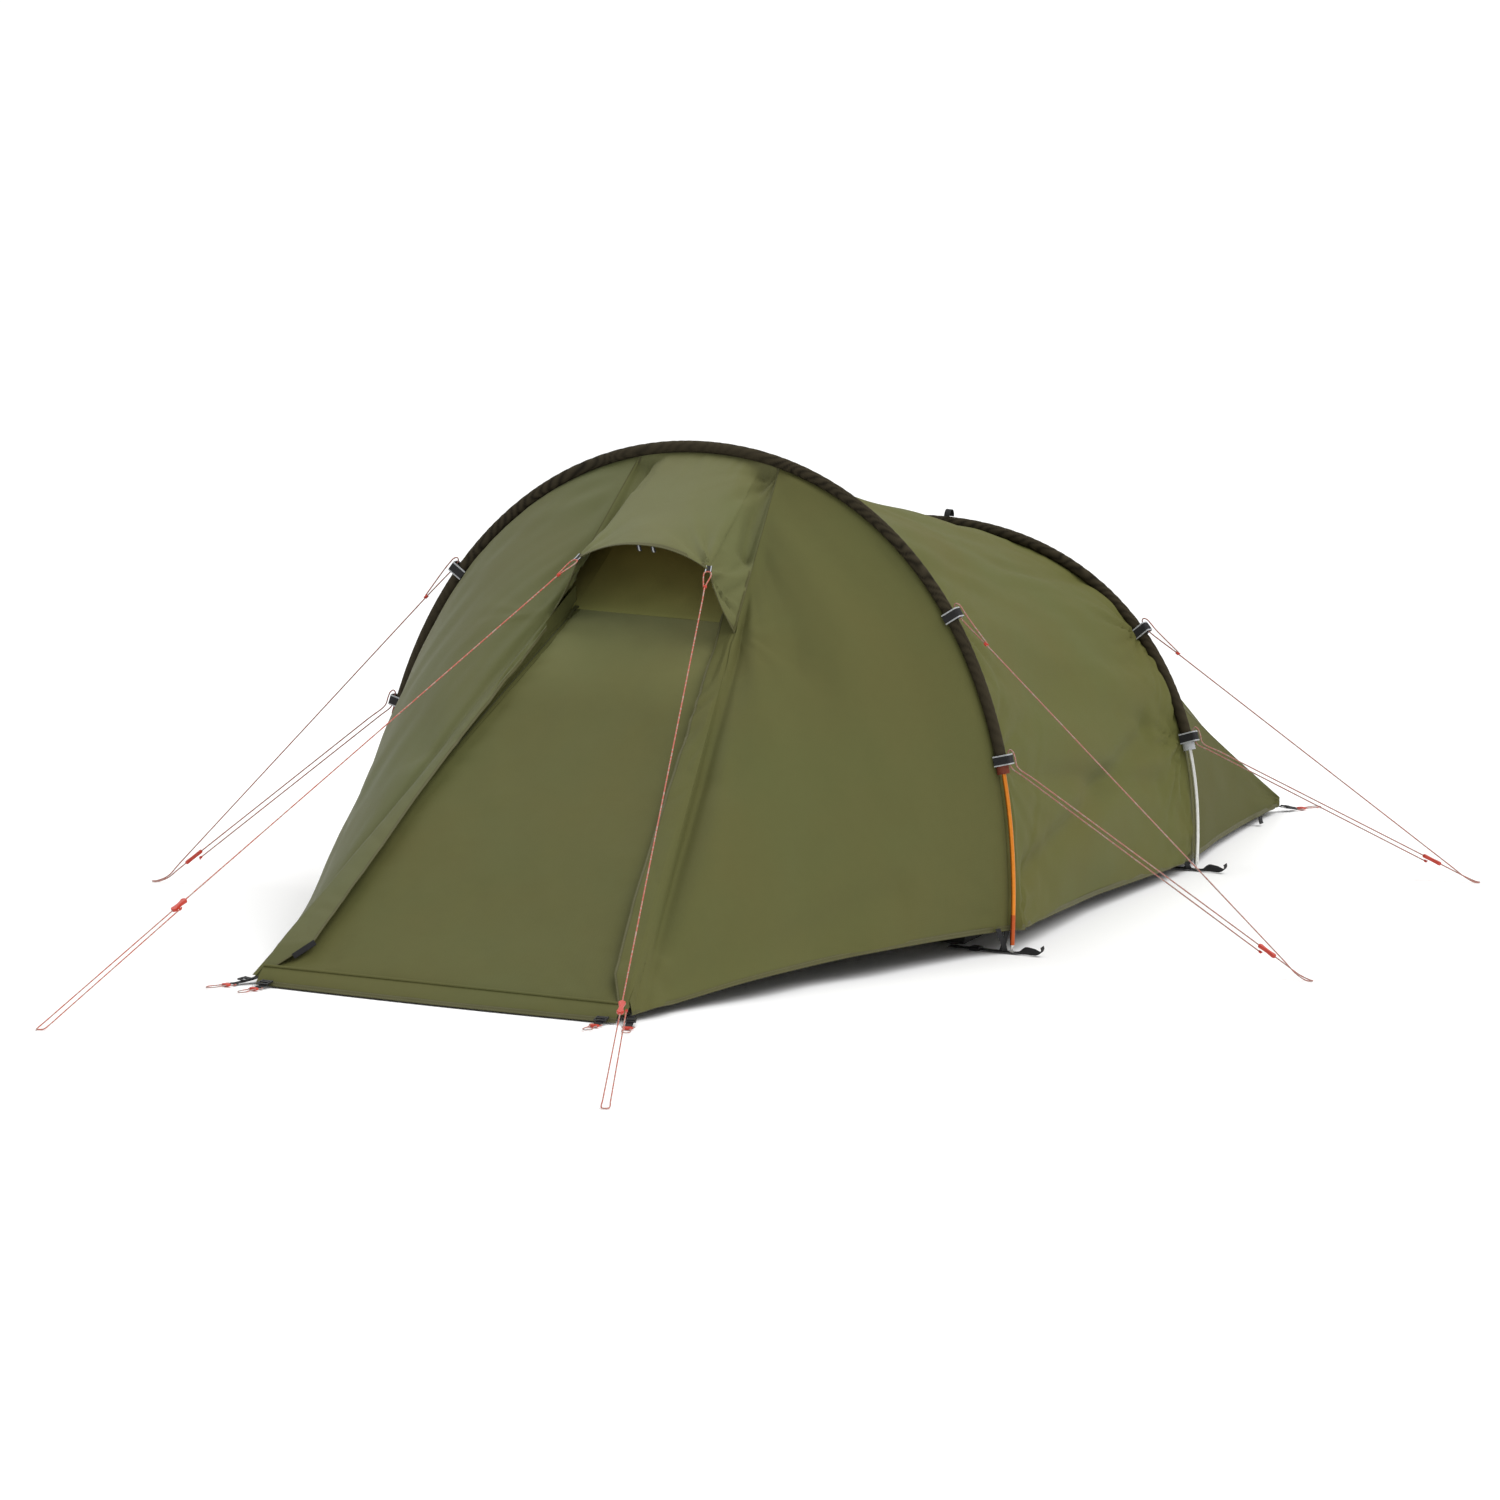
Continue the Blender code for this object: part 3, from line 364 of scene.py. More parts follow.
def moulded_material(name, colour, roughness):
    material = plain(name, colour, roughness)
    nodes = Nodes(material)
    grain = nodes.noise(900.0, detail=2.0)
    broad = nodes.noise(25.0)
    nodes.colour(nodes.mix(broad, scaled(colour, 0.85), scaled(colour, 1.15)))
    nodes.link(nodes.spread(grain, roughness - 0.08, roughness + 0.1), nodes.shader.inputs["Roughness"])
    nodes.bump(grain, 0.0001, 0.35)
    return material


def anodised_material(name, colour, roughness):
    """Drawn and anodised tube: faint streaks and small handling marks."""
    material = plain(name, colour, roughness, 0.85)
    nodes = Nodes(material)
    streaks = nodes.noise(160.0, detail=3.0)
    marks = nodes.noise(700.0, detail=4.0)
    nodes.colour(nodes.mix(streaks, scaled(colour, 0.82), scaled(colour, 1.12)))
    nodes.link(nodes.spread(marks, roughness - 0.08, roughness + 0.14), nodes.shader.inputs["Roughness"])
    nodes.bump(marks, 0.00004, 0.4)
    return material


FLY_COLOURS = ((0.094, 0.0985, 0.035), (0.101, 0.0965, 0.034))
FLY = cloth_material("fly_nylon", *FLY_COLOURS)
# The door's cloth takes painted light from its height colour layer.
FLY_DOOR = cloth_material("fly_nylon_door", *FLY_COLOURS, painted="height")
# Painted sheen: a glossier, slightly bluer copy of the fly cloth for the left wall and flap, standing
# for the greyer light on that side; the cloth is the same.
FLY_LEFT_SHEEN = cloth_material(
    "fly_nylon_left_sheen", (0.092, 0.101, 0.036), (0.099, 0.098, 0.036), sheen=0.04, gloss=0.22
)
# Painted light: a lighter, glossier copy of the fly cloth for the hood; the cloth is the same.
FLY_HOOD_LIT = cloth_material(
    "fly_nylon_hood_lit", (0.112, 0.120, 0.044), (0.120, 0.116, 0.044), sheen=0.04, gloss=0.25
)
# Painted light and shade: a slightly lighter, greener copy of the fly cloth for the canopy and a darker
# one for the foot; the cloth is the same.
FLY_TUNNEL = cloth_material("fly_nylon_tunnel", (0.098, 0.104, 0.033), (0.106, 0.100, 0.032), gloss=0.06)
FLY_FOOT = cloth_material("fly_nylon_foot", (0.078, 0.081, 0.025), (0.083, 0.078, 0.025), gloss=0.05)
# Painted shade: a warm brown copy of the fly cloth for the vent and its gussets, standing for the deep
# shade under the hood.
FLY_VENT_SHADED = cloth_material(
    "vent_nylon_shaded", (0.120, 0.100, 0.022), (0.125, 0.096, 0.022), gloss=0.05, painted="height"
)
HEM = hem_material("fly_hem", (0.074, 0.071, 0.022), (0.14, 0.135, 0.06))
# The sleeve's colour takes painted shade from its folds layer.
SLEEVE = cloth_material(
    "sleeve_nylon", (0.041, 0.034, 0.021), (0.047, 0.038, 0.023), 0.75, 0.004, painted="folds"
)
INNER = cloth_material("inner_polyester", (0.50, 0.46, 0.36), (0.54, 0.48, 0.36), 0.85, 0.006, 0.1)
FLOOR = cloth_material("floor_nylon", (0.045, 0.047, 0.045), (0.055, 0.052, 0.045), 0.55, 0.005, 0.1)
WEBBING = webbing_material("webbing_black", (0.013, 0.013, 0.014))
REFLECTIVE = webbing_material("webbing_reflective", (0.40, 0.42, 0.44), 0.45)
PATCH_RED = webbing_material("patch_red_brown", (0.16, 0.028, 0.010), 0.7)
PATCH_SILVER = webbing_material("patch_silver", (0.50, 0.52, 0.55), 0.55)
CORD = cord_material("cord_red", (0.43, 0.105, 0.072), (0.40, 0.26, 0.22))
CORD_PALE = cord_material("cord_pale_red", (0.38, 0.155, 0.125), (0.36, 0.25, 0.22))
CORD_GREY = cord_material("cord_grey", (0.34, 0.27, 0.25), (0.42, 0.11, 0.08))
RED = moulded_material("red_acetal", (0.50, 0.040, 0.020), 0.38)
BLACK = moulded_material("black_acetal", (0.014, 0.014, 0.015), 0.42)
ORANGE = anodised_material("pole_orange", (0.78, 0.25, 0.03), 0.30)
ORANGE_DARK = anodised_material("pole_red_orange", (0.55, 0.11, 0.03), 0.34)
SILVER = anodised_material("pole_silver", (0.80, 0.80, 0.76), 0.28)
ZIP = moulded_material("zip_dark_olive", (0.056, 0.058, 0.021), 0.5)


# Meshes


def mesh_object(name, verts, faces, material, uvs=None, smooth=True):
    """uvs is one pair for each vertex."""
    mesh = bpy.data.meshes.new(name)
    mesh.from_pydata(np.asarray(verts, float).tolist(), [], faces)
    mesh.materials.append(material)
    if uvs is not None:
        layer = mesh.uv_layers.new(name="UVMap")
        index = np.zeros(len(mesh.loops), np.int32)
        mesh.loops.foreach_get("vertex_index", index)
        layer.data.foreach_set("uv", np.asarray(uvs, float)[index].ravel())
    if smooth:
        mesh.shade_smooth()
    return add_object(name, mesh)


def grid_faces(rows, columns, closed=False):
    faces = []
    for i in range(rows - 1):
        row, after_row = i * columns, (i + 1) * columns
        for j in range(columns if closed else columns - 1):
            after = (j + 1) % columns
            faces.append((row + j, row + after, after_row + after, after_row + j))
    return faces


def capped_faces(rings, sides):
    """The faces of a closed tube of rings, with a flat cap at each end."""
    last = (rings - 1) * sides
    caps = [tuple(reversed(range(sides))), tuple(range(last, last + sides))]
    return grid_faces(rings, sides, closed=True) + caps


def surface_normals(points):
    """Unit normals of a grid of points, shape (rows, columns, 3)."""
    along = np.gradient(points, axis=0)
    across = np.gradient(points, axis=1)
    normal = np.cross(along, across)
    return normal / np.maximum(np.linalg.norm(normal, axis=2, keepdims=True), 1e-12)


def arc_lengths(points):
    """Mean distance along the rows and along the columns of a grid, in metres."""
    down = np.linalg.norm(np.diff(points, axis=0), axis=2).mean(axis=1)
    over = np.linalg.norm(np.diff(points, axis=1), axis=2).mean(axis=0)
    return np.concatenate(([0], np.cumsum(down))), np.concatenate(([0], np.cumsum(over)))


def thicken(obj, thick, offset=0.0):
    """Give a sheet its thickness, with crisp edges round the rim."""
    solidify = obj.modifiers.new("cloth", "SOLIDIFY")
    solidify.thickness = thick
    solidify.offset = offset
    split = obj.modifiers.new("rim", "EDGE_SPLIT")
    split.split_angle = math.radians(55)


def cloth(
    name, points, material, nodes=(),
    body="tent", thick=CLOTH_THICK, declare=True,
):
    """A sheet of cloth from a grid of points, thickened, riding on a body."""
    rows, columns = points.shape[:2]
    down, over = arc_lengths(points)
    uvs = np.stack(np.meshgrid(over, down), axis=2).reshape(-1, 2)
    obj = mesh_object(name, points.reshape(-1, 3), grid_faces(rows, columns), material, uvs)
    thicken(obj, thick)
    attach(obj, body)
    if nodes:
        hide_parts(*nodes)
    if declare:
        quads = np.cross(points[1:, 1:] - points[:-1, :-1], points[1:, :-1] - points[:-1, 1:])
        area = float(np.linalg.norm(quads, axis=2).sum() / 2)
        widest = float(np.linalg.norm(np.diff(points, axis=1), axis=2).sum(axis=1).max())
        length = float(np.linalg.norm(np.diff(points, axis=0), axis=2).sum(axis=0).max())
        area = min(max(area, 0.31 * widest * length), widest * length)
    return obj


def lattice_noise(x, y, seed):
    """Smooth noise between -1 and 1."""
    size = 97
    grid = np.random.RandomState(seed).uniform(-1, 1, (size, size))
    low_x, low_y = np.floor(x).astype(int), np.floor(y).astype(int)
    part_x, part_y = x - low_x, y - low_y
    part_x = part_x * part_x * (3 - 2 * part_x)
    part_y = part_y * part_y * (3 - 2 * part_y)

    def at(i, j):
        return grid[i % size, j % size]

    near = at(low_x, low_y) * (1 - part_x) + at(low_x + 1, low_y) * part_x
    far = at(low_x, low_y + 1) * (1 - part_x) + at(low_x + 1, low_y + 1) * part_x
    return near * (1 - part_y) + far * part_y


def smooth_step(x):
    x = np.clip(x, 0, 1)
    return x * x * (3 - 2 * x)


def calm_edges(*edges):
    """A factor that falls to zero at each edge: pairs of distance from it, and reach."""
    factor = 1.0
    for distance, reach in edges:
        factor = factor * smooth_step(distance / reach)
    return factor


def arch(share):
    """0 at both ends and 1 in the middle, along a sine."""
    return np.maximum(np.sin(math.pi * share), 0)


def moved(points, direction, height):
    """Points moved along one direction by a height for each."""
    return points + np.array(direction) * np.asarray(height)[..., None]


def from_axis(points, height):
    """Unit directions away from the tent's long axis, taken at a height."""
    away = points * np.array([1.0, 0.0, 1.0]) - np.array([0.0, 0.0, height])
    return away / np.linalg.norm(away, axis=2, keepdims=True)


def lerped(start, end, shares):
    """Points from start to end, one for each share of the way."""
    return np.array([tuple(start.lerp(end, share)) for share in shares])


def down_between(first, last, rows):
    """Grids from a first row to a last: the points, their share along the row, and their share down."""
    down = np.linspace(0, 1, rows)[:, None, None]
    shares = np.meshgrid(np.linspace(0, 1, len(first)), down[:, 0, 0])
    return [first[None] * (1 - down) + last[None] * down, *shares]


def across_between(first, last, columns):
    """The same grids from a first column to a last one."""
    return [np.ascontiguousarray(np.swapaxes(grid, 0, 1)) for grid in down_between(first, last, columns)]


def crease(points, start, end, width, depth, taper=0.25):
    """A soft valley (or ridge, with a negative depth) along a straight line in space."""
    start, end = np.array(start), np.array(end)
    line = end - start
    share = ((points - start) @ line) / (line @ line)
    nearest = start + np.clip(share, 0, 1)[..., None] * line
    away = np.linalg.norm(points - nearest, axis=-1)
    ends = smooth_step(np.minimum(share, 1 - share) / taper + 1.0) ** 2
    return -depth * np.exp(-((away / width) ** 2)) * ends


def fan(points, corner, normal, folds, reach, height, seed):
    """Tension folds that fan out from a pulled corner and fade with distance."""
    corner, normal = np.array(corner), np.array(Vector(normal).normalized())
    side = np.array(Vector(normal).orthogonal().normalized())
    other = np.cross(normal, side)
    away = points - corner
    a, b = away @ side, away @ other
    distance = np.sqrt(a * a + b * b)
    angle = np.arctan2(b, a)
    ripple = lattice_noise(angle * folds / math.pi + 40, distance * 2.0 + 5, seed)
    return height * ripple * smooth_step(distance / 0.03) * np.exp(-distance / reach)


def puckers(along, away, spacing, depth, height, seed):
    """Small gathers across a seam: along and away are distances in metres."""
    ripple = lattice_noise(along / spacing + 30, away / (4 * spacing) + 7, seed)
    return height * ripple * np.exp(-away / depth)


def displaced(points, height):
    return points + surface_normals(points) * height[..., None]


def distances(points):
    """Distance of each grid point along its row and down its column, in metres."""
    down, over = arc_lengths(points)
    return np.meshgrid(over, down)


def ribbon(name, centre_line, across, width, material, body="tent", thick=0.0014, nodes=()):
    """A flat strap along a line of points, its width in the across direction, thickened."""
    line = np.array([tuple(point) for point in centre_line])
    shares = np.linspace(-0.5, 0.5, 5)
    points = line[:, None, :] + np.array(tuple(across)) * (shares * width)[None, :, None]
    return cloth(name, points, material, nodes, body, thick, declare=False)


def tube_mesh(name, path, radii, material, sides=16, body="tent"):
    """A round tube along a path of points, with one radius or one for each point."""
    path = [Vector(p) for p in path]
    if isinstance(radii, float):
        radii = [radii] * len(path)
    verts, uvs = [], []
    travelled = 0.0
    normal = None
    for k, point in enumerate(path):
        tangent = (path[min(k + 1, len(path) - 1)] - path[max(k - 1, 0)]).normalized()
        if normal is None:
            normal = tangent.orthogonal().normalized()
        normal = (normal - tangent * normal.dot(tangent)).normalized()
        other = tangent.cross(normal)
        if k:
            travelled += (point - path[k - 1]).length
        for s in range(sides):
            turn = 2 * math.pi * s / sides
            verts.append(point + (normal * math.cos(turn) + other * math.sin(turn)) * radii[k])
            uvs.append((travelled, radii[k] * turn))
    obj = mesh_object(name, [tuple(v) for v in verts], capped_faces(len(path), sides), material, uvs)
    obj.data.set_sharp_from_angle(angle=math.radians(50))
    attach(obj, body)
    return obj


# Hoops


def hoop_points(hoop, angle):
    cosine, sine = np.cos(angle), np.maximum(np.sin(angle), 0.0)
    x = np.sign(cosine) * hoop["half_width"] * np.abs(cosine) ** hoop["px"]
    z = hoop["height"] * sine ** hoop["pz"]
    return np.stack([x, hoop["y"] + hoop["lean"] * z, z], axis=-1)


def hoop_axes(hoop, angle):
    """Centre points, and unit outward, along and across directions, for an array of angles."""
    small = 1e-3
    centre = hoop_points(hoop, angle)
    before = hoop_points(hoop, np.maximum(angle - small, 0.0))
    along = hoop_points(hoop, np.minimum(angle + small, math.pi)) - before
    along /= np.linalg.norm(along, axis=-1, keepdims=True)
    across = np.array([0.0, 1.0, -hoop["lean"]])
    across /= np.linalg.norm(across)
    outward = np.cross(along, across)
    flip = np.sum(outward * np.stack([np.cos(angle), 0 * angle, np.ones_like(angle)], -1), -1) < 0
    outward[flip] *= -1
    return centre, outward, along, np.broadcast_to(across, centre.shape)


def seam_line(hoop, angle, shift=0.0, inset=SEAM_INSET):
    centre, outward, _, across = hoop_axes(hoop, angle)
    return centre - outward * inset + across * shift


def hoop_frame(hoop, angle):
    centre, outward, along, across = hoop_axes(hoop, np.array([float(angle)]))
    return Vector(centre[0]), Vector(outward[0]), Vector(along[0]), Vector(across[0])


def angle_at_height(hoop, z):
    return math.asin((z / hoop["height"]) ** (1 / hoop["pz"]))


def angle_at_x(hoop, x):
    return math.acos((x / hoop["half_width"]) ** (1 / hoop["px"]))


def over_hoop(start, share):
    """Angles from a start on the right over to the same height on the left."""
    return start + (math.pi - 2 * start) * share


def mirrored(point, side):
    return Vector((point.x * side, point.y, point.z))


def mirror_grid(points, side):
    return points if side > 0 else points * np.array([-1.0, 1.0, 1.0])


PIN_TOP = 0.021
POLE_END_TOP = 0.085
# Height and radius of the pin at a pole's foot.
PIN_PROFILE = (
    (0.0, 0.0018), (0.001, 0.0025), (0.014, 0.0025),
    (0.015, 0.0044), (0.0195, 0.0044), (0.0205, 0.0040),
)


def make_pole(hoop, slot_material, foot_material):
    """A bent tube, with a darker end section and a metal pin at each foot."""
    name = hoop["place"] + "_pole"
    points = hoop_points(hoop, np.linspace(0.0, math.pi, 181))
    obj = tube_mesh(name, points[points[:, 2] > PIN_TOP], POLE_RADIUS, slot_material)
    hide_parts(name)
    low, high = angle_at_height(hoop, PIN_TOP - 0.002), angle_at_height(hoop, POLE_END_TOP)
    end_line = hoop_points(hoop, np.linspace(low, high, 8))
    for label, side in SIDES:
        foot = Vector((side * hoop["half_width"], hoop["y"], 0.0))
        line = [mirrored(Vector(point), side) for point in end_line]
        tube_mesh(f"{name}_end_{label}", line, POLE_RADIUS + 0.00025, foot_material)
        pin = [foot + Vector((0, 0, z)) for z, _ in PIN_PROFILE]
        tube_mesh(f"{name}_pin_{label}", pin, [radius for _, radius in PIN_PROFILE], SILVER)


def sleeve_rings(hoop, angles, radial, wide):
    """Rings of points round a hoop, from their reach outwards and to the side."""
    centre, outward, _, across = hoop_axes(hoop, angles)
    return centre[:, None] + outward[:, None] * radial[..., None] + across[:, None] * wide[..., None]


def make_sleeve(hoop, patch, patch_stations=6, stations=460, sides=28):
    """The gathered pole sleeve: slanting ribs where the cloth bunches, and a plain cuff at each end."""
    name = hoop["place"] + "_sleeve"
    start = angle_at_height(hoop, hoop["sleeve_end"])
    angles = np.linspace(start, math.pi - start, stations)
    steps = np.linalg.norm(np.diff(hoop_points(hoop, angles), axis=0), axis=1)
    length = np.concatenate(([0], np.cumsum(steps)))
    turns = np.linspace(0, 2 * math.pi, sides, endpoint=False)
    s, t = np.meshgrid(length, turns, indexing="ij")
    wander = lattice_noise(s * 11 + 5, 3 + np.sin(t), 3)
    wander = wander + 0.5 * lattice_noise(s * 27 + 9, 4 + np.cos(t), 4)
    slant = s / RIB_PITCH + 1.5 * t / math.pi + 0.8 * wander
    strength = 0.35 + 0.65 * smooth_step(0.5 + 0.9 * lattice_noise(s * 7 + 2, 6 + np.sin(t), 5))
    fold = np.abs(np.sin(math.pi * slant)) ** 0.7
    dark = (1 - fold) * strength
    grow = (0.0004 * fold - 0.0007 * dark) * (0.6 + 0.4 * np.cos(t))
    radial = (SLEEVE_RADIAL - 0.0007 + grow) * np.cos(t)
    wide = (SLEEVE_ACROSS - 0.0003 + grow) * np.sin(t)
    verts = sleeve_rings(hoop, angles, radial, wide).reshape(-1, 3)
    uvs = np.stack([s, t * SLEEVE_ACROSS], axis=2).reshape(-1, 2)
    obj = mesh_object(name + "_cloth", verts, grid_faces(stations, sides, closed=True), SLEEVE, uvs)
    # Painted shade: the folds layer darkens the grooves between the ribs, where shade falls.
    layer = obj.data.color_attributes.new(name="folds", type="FLOAT_COLOR", domain="POINT")
    light = np.clip(1 - 1.3 * dark, 0, 1).reshape(-1, 1)
    layer.data.foreach_set("color", np.hstack([light, light, light, np.ones_like(light)]).ravel())
    thicken(obj, 0.0012, -1.0)
    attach(obj, "tent")
    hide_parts(name)
    cuff_radial = (SLEEVE_RADIAL + 0.0006) * np.cos(turns)[None]
    cuff_wide = (SLEEVE_ACROSS + 0.0006) * np.sin(turns)[None]
    cuff_faces = grid_faces(patch_stations, sides, closed=True)
    for label, side in SIDES:
        band = angles[:patch_stations] if side > 0 else angles[-patch_stations:]
        rings = sleeve_rings(hoop, band, cuff_radial, cuff_wide).reshape(-1, 3)
        cuff = mesh_object(f"{name}_cuff_{label}", rings, cuff_faces, patch, uvs[:len(rings)])
        thicken(cuff, 0.0010)
        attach(cuff, "tent")


# Fly panels


# How far each wall hangs in (or blows out), and the size of its broad waves.
WALL_SAG = {1: 0.016, -1: -0.028}
WALL_SLACK = {1: 0.0120, -1: 0.0060}


def wall_grid(side, rows=110, columns=120):
    """Points of a porch wall, from the hoop (first column) to its free edge (last column)."""
    low = angle_at_height(FRONT_HOOP, FRONT_HOOP["hem_z"])
    high = angle_at_x(FRONT_HOOP, HOOD_SEAM_X)
    shares = np.linspace(0, 1, rows)
    hoop_side = seam_line(FRONT_HOOP, low + (high - low) * shares, -SEAM_GAP)
    free_side = np.array(CORNER) * (1 - shares[:, None]) + np.array(ARCH_FOOT) * shares[:, None]
    points, u, v = across_between(hoop_side, free_side, columns)
    hem_slack = 0.0 if side > 0 else 0.30
    up = arch(hem_slack + (1 - hem_slack) * u) ** 0.7
    depth = WALL_SAG[side] * up * arch(v) ** (1.0 if side > 0 else 0.6)
    points = points - from_axis(points, 0.25) * depth[..., None]
    points[..., 2] += 0.020 * (1 - u) ** 6 * arch(v)
    return points, u, v


# Folds from the pegged corner up to the hoop: share of the free edge, height at the hoop, depth.
WALL_FOLDS = ((0.02, 0.42, 0.012), (0.02, 0.20, 0.010), (0.10, 0.66, 0.011), (0.55, 0.80, 0.008))


def make_walls():
    tilt = (0.8, -0.5, 0.3)
    for label, side in SIDES:
        points, u, v = wall_grid(side)
        across, down = distances(points)
        edge = calm_edges((v, 0.04), (1 - v, 0.03), (1 - u, 0.05))
        height = WALL_SLACK[side] * lattice_noise(u * 3.0 + 3, v * 6.0, 11 + side) * edge
        height += 0.0024 * lattice_noise(u * 9.0, v * 14.0 + 2, 17 + side) * edge
        height += fan(points, ARCH_FOOT, tilt, 11, 0.13, 0.0030, 21 + side) * edge
        height += fan(points, CORNER, tilt, 12, 0.22, 0.0045, 25 + side) * edge
        height += puckers(down, across, 0.022, 0.030, 0.0016, 31 + side) * smooth_step(v / 0.02)
        hoop_foot = (0.765, FRONT_Y, 0.10)
        height += fan(points, hoop_foot, (1.0, -0.2, 0.1), 12, 0.16, 0.0035, 35 + side) * edge
        low_end = CORNER.lerp(ARCH_FOOT, 0.16) + Vector((0.016, 0.05, 0))
        high_end = CORNER.lerp(ARCH_FOOT, 0.93) + Vector((0.020, 0.05, 0))
        grooves = crease(points, low_end, high_end, 0.020, 0.009)
        for start_share, end_z, depth in WALL_FOLDS:
            start = CORNER.lerp(ARCH_FOOT, start_share)
            end = Vector((0.70, FRONT_Y - 0.12, end_z))
            near, far = start.lerp(end, 0.12), start.lerp(end, 0.80)
            grooves = grooves + crease(points, near, far, 0.050, depth)
        low_end, high_end = CORNER + Vector((0.020, 0.02, 0.0)), ARCH_FOOT + Vector((0.014, 0.01, 0.0))
        valley = crease(points, low_end, high_end, 0.013, 0.012)
        points = displaced(points, height + grooves * edge + valley * smooth_step((1 - v) / 0.008))
        points[..., 2] = np.maximum(points[..., 2], GROUND_CLEARANCE)
        points = mirror_grid(points, side)
        # The left wall takes the glossier copy: painted sheen for the greyer light on that side.
        material = FLY if side > 0 else FLY_LEFT_SHEEN
        cloth(f"wall_cloth_{label}", points, material, [f"porch_wall_{label}"])
        hem_strip(f"wall_hem_{label}", points[0], points[6])


def hem_strip(name, edge, inner, width=0.012):
    """A folded hem along an edge line, lying just outside the cloth. inner shows which way is in."""
    into = inner - edge
    into /= np.maximum(np.linalg.norm(into, axis=1, keepdims=True), 1e-9)
    shares = np.linspace(-0.0006, width, 5)
    points = edge[:, None, :] + into[:, None, :] * shares[None, :, None]
    along = np.concatenate(([0], np.cumsum(np.linalg.norm(np.diff(edge, axis=0), axis=1))))
    uvs = np.stack(np.meshgrid(shares, along), axis=2)[..., ::-1].reshape(-1, 2)
    obj = mesh_object(name, points.reshape(-1, 3), grid_faces(*points.shape[:2]), HEM, uvs)
    thicken(obj, 0.0016)
    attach(obj, "tent")


def side_hems(name, points, width=0.012, inset=3):
    """Hems down the first and last columns of a sheet."""
    hem_strip(f"{name}_right", points[:, 0], points[:, inset], width)
    hem_strip(f"{name}_left", points[:, -1], points[:, -1 - inset], width)


def door_plane(x, share):
    point = DOOR_HINGE.lerp(DOOR_TOP, share)
    return Vector((x, point.y, point.z))


def door_half(share):
    return DOOR_HALVES[0] + (DOOR_HALVES[1] - DOOR_HALVES[0]) * share


DOOR_NORMAL = Vector((0.0, -(DOOR_TOP.z - DOOR_HINGE.z), DOOR_TOP.y - DOOR_HINGE.y)).normalized()

# Storm flaps: shares up the wall's free edge, and the flap's width at each. Then how far the inner edge
# stands off the door, how far up the flap reaches, and the height of its gathers.
FLAP_SHARES = (0.0, 0.05, 0.24, 0.36, 0.50, 0.62, 0.75, 0.89, 1.0)
FLAP_WIDTHS = {
    "right": (0.047, 0.050, 0.056, 0.055, 0.053, 0.050, 0.045, 0.043, 0.040),
    "left": (0.060, 0.096, 0.074, 0.060, 0.041, 0.031, 0.022, 0.014, 0.008),
}
FLAP_LIFT = {"right": 0.016, "left": 0.020}
FLAP_TOP = {"right": 1.08, "left": 0.985}
FLAP_GATHER = {"right": 0.0110, "left": 0.0060}
FLAP_NARROWS = 0.055  # share below which a flap narrows to its tip
FLAP_LENGTH = 1.19
FLAP_CLEARANCE = 0.009  # least height of a flap above the door's plane
FLAP_TIP = (0.437, DOOR_HINGE.y + 0.004, 0.017)


def make_flaps(rows=170, columns=20):
    """Storm flaps over the zips: the walls' free edges turned over on to the door."""
    run = DOOR_TOP.y - DOOR_HINGE.y
    corner_share, foot_share = ((place.y - DOOR_HINGE.y) / run for place in (CORNER, ARCH_FOOT))
    for label, side in SIDES:
        u = np.linspace(0.0, FLAP_TOP[label], rows)
        outer = lerped(CORNER, ARCH_FOOT, u)
        xs = outer[:, 0] - np.interp(u, FLAP_SHARES, FLAP_WIDTHS[label])
        shares = corner_share + (foot_share - corner_share) * u
        lift = DOOR_NORMAL * FLAP_LIFT[label]
        inner = np.array([tuple(door_plane(x, share) + lift) for x, share in zip(xs, shares)])
        points, _, over = across_between(outer, inner, columns)
        above_door = (outer - np.array(DOOR_HINGE)) @ np.array(DOOR_NORMAL)
        u = u[:, None]
        along = u * FLAP_LENGTH
        raised = np.maximum(FLAP_CLEARANCE - above_door, 0.0)[:, None]
        raised = raised * (1 - over) * smooth_step(over / 0.12)
        bulge = 0.004 * arch(over) * arch(u)
        slant = along / 0.060 + 3 + 0.8 * over
        gather = FLAP_GATHER[label] * np.abs(lattice_noise(slant, over * 1.2 + 9, 51 + side))
        gather += 0.0012 * lattice_noise(along / 0.020 + 1.5 * over, over * 1.6, 55 + side)
        top = 0.30 + 0.70 * smooth_step((u - 0.55) / 0.4)
        height = bulge + gather * top * calm_edges((u, 0.05), (over, 0.15))
        points = moved(points, DOOR_NORMAL, raised + height)
        low = int(np.searchsorted(u[:, 0], FLAP_NARROWS))
        tip = np.array(FLAP_TIP) - np.linspace(0, 1, columns)[:, None] * np.array([0.012, 0, 0])
        points[:low] = tip + (points[low] - tip) * (u[:low, None] / u[low, 0])
        points[..., 2] = np.maximum(points[..., 2], 0.005)
        points = mirror_grid(points, side)
        # The left flap takes the same glossier copy: painted sheen.
        cloth(f"storm_flap_{label}", points, FLY if side > 0 else FLY_LEFT_SHEEN)
        hem_strip(f"storm_flap_hem_{label}", points[:, -1], points[:, -3], 0.006)
        if side < 0:
            shift = DOOR_NORMAL * 0.001 + Vector((0.002, 0, -0.003))
            toggle = [Vector(point) + shift for point in points[low - 4:low + 1, -1]]
            ribbon("flap_toggle", toggle, (0.6, 0, -0.8), 0.012, WEBBING, thick=0.0035)


